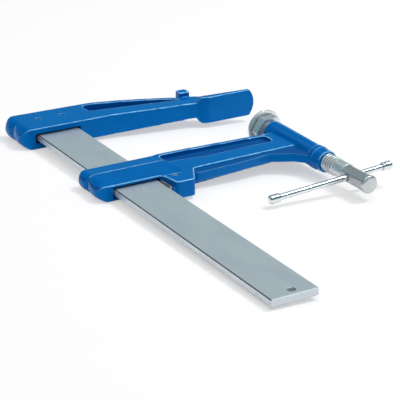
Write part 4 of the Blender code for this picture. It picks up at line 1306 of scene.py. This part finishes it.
def hexagonBody(name, plan, corner):
    hexagon = [(corner * cos(pi / 3 * k), corner * sin(pi / 3 * k), plan["cornerFillet"]) for k in range(6)]
    work = bmesh.new()
    ring = [work.verts.new((point.x, plan["back"], point.y)) for point in filleted(hexagon)]
    pushed = bmesh.ops.extrude_face_region(work, geom=[work.faces.new(ring)])["geom"]
    moved = [item for item in pushed if isinstance(item, bmesh.types.BMVert)]
    bmesh.ops.translate(work, verts=moved, vec=(0, plan["flange"] + plan["flangeOverlap"] - plan["back"], 0))
    bmesh.ops.recalc_face_normals(work, faces=work.faces)
    return pieceFrom(name, work)


def makePad(plan, ballY):
    flats = plan["acrossFlats"] / 2
    corner = flats / cos(pi / 6)
    face, back, outer = plan["face"], plan["back"], corner + plan["coneMargin"]
    pad = hexagonBody("swivel_pad_body", plan, corner)
    # the hexagon's back corners are turned off at a shallow cone
    start = back - plan["coneStart"]
    cone = turnedSolid("cone", [(flats - plan["coneInset"], start), (flats - plan["coneTop"], back),
                                (outer, back + plan["coneRun"]), (outer, face)])
    carve(pad, cone, operation="INTERSECT")
    bevel(pad, plan["bevel"], plan["bevelSteps"], plan["bevelAngle"])
    settle(pad)
    radius, edge = plan["radius"], plan["edge"]
    side = [(corner + plan["flangeMargin"], plan["flange"], plan["flangeFillet"]),
            (radius, plan["flange"] + plan["flangeSlope"], edge), (radius, face, edge)]
    side += [(radius * share, face - depth) for share, depth in plan["ring"]]
    flange = turnedSolid("flange", side)
    carve(pad, flange, operation="UNION")
    # the socket's ball shape runs out through the pad's back, so the pad tilts freely round the cup
    socket, rim = plan["socketRadius"], plan["mouthRim"]
    last = pi / 2 + asin((ballY - back) / socket)
    side = ballSide(socket, ballY, spread(0, last, plan["socketSteps"]))
    side += [(socket * sin(last) + rim, back - rim), (0, back - rim)]
    carve(pad, turned("socket", side, plan["steps"]))
    shade(pad, plan["sharp"])
    dress(pad, padZinc, "pad", "plated_steel", "swivel_pad")


cupPlan = {
    "inner": 0.0061,
    "thickness": 0.0015,
    "front": radians(25),
    "neck": 0.0045,
    "arcSteps": 16,
    "steps": 64,
}


def makeCup(plan, ballY):
    inner, outer = plan["inner"], plan["inner"] + plan["thickness"]
    front, back = plan["front"], pi - asin(plan["neck"] / inner)
    angles = spread(front, back, plan["arcSteps"])
    side = ballSide(outer, ballY, angles) + ballSide(inner, ballY, angles[::-1])
    cup = turned("ball_cup_shell", side, plan["steps"], closed=True)
    shade(cup)
    dress(cup, temperedSteel, "feed", "hard_steel", "ball_cup")


makePad(padPlan, spindlePlan["ballY"])
makeCup(cupPlan, spindlePlan["ballY"])
print("pad and cup made")
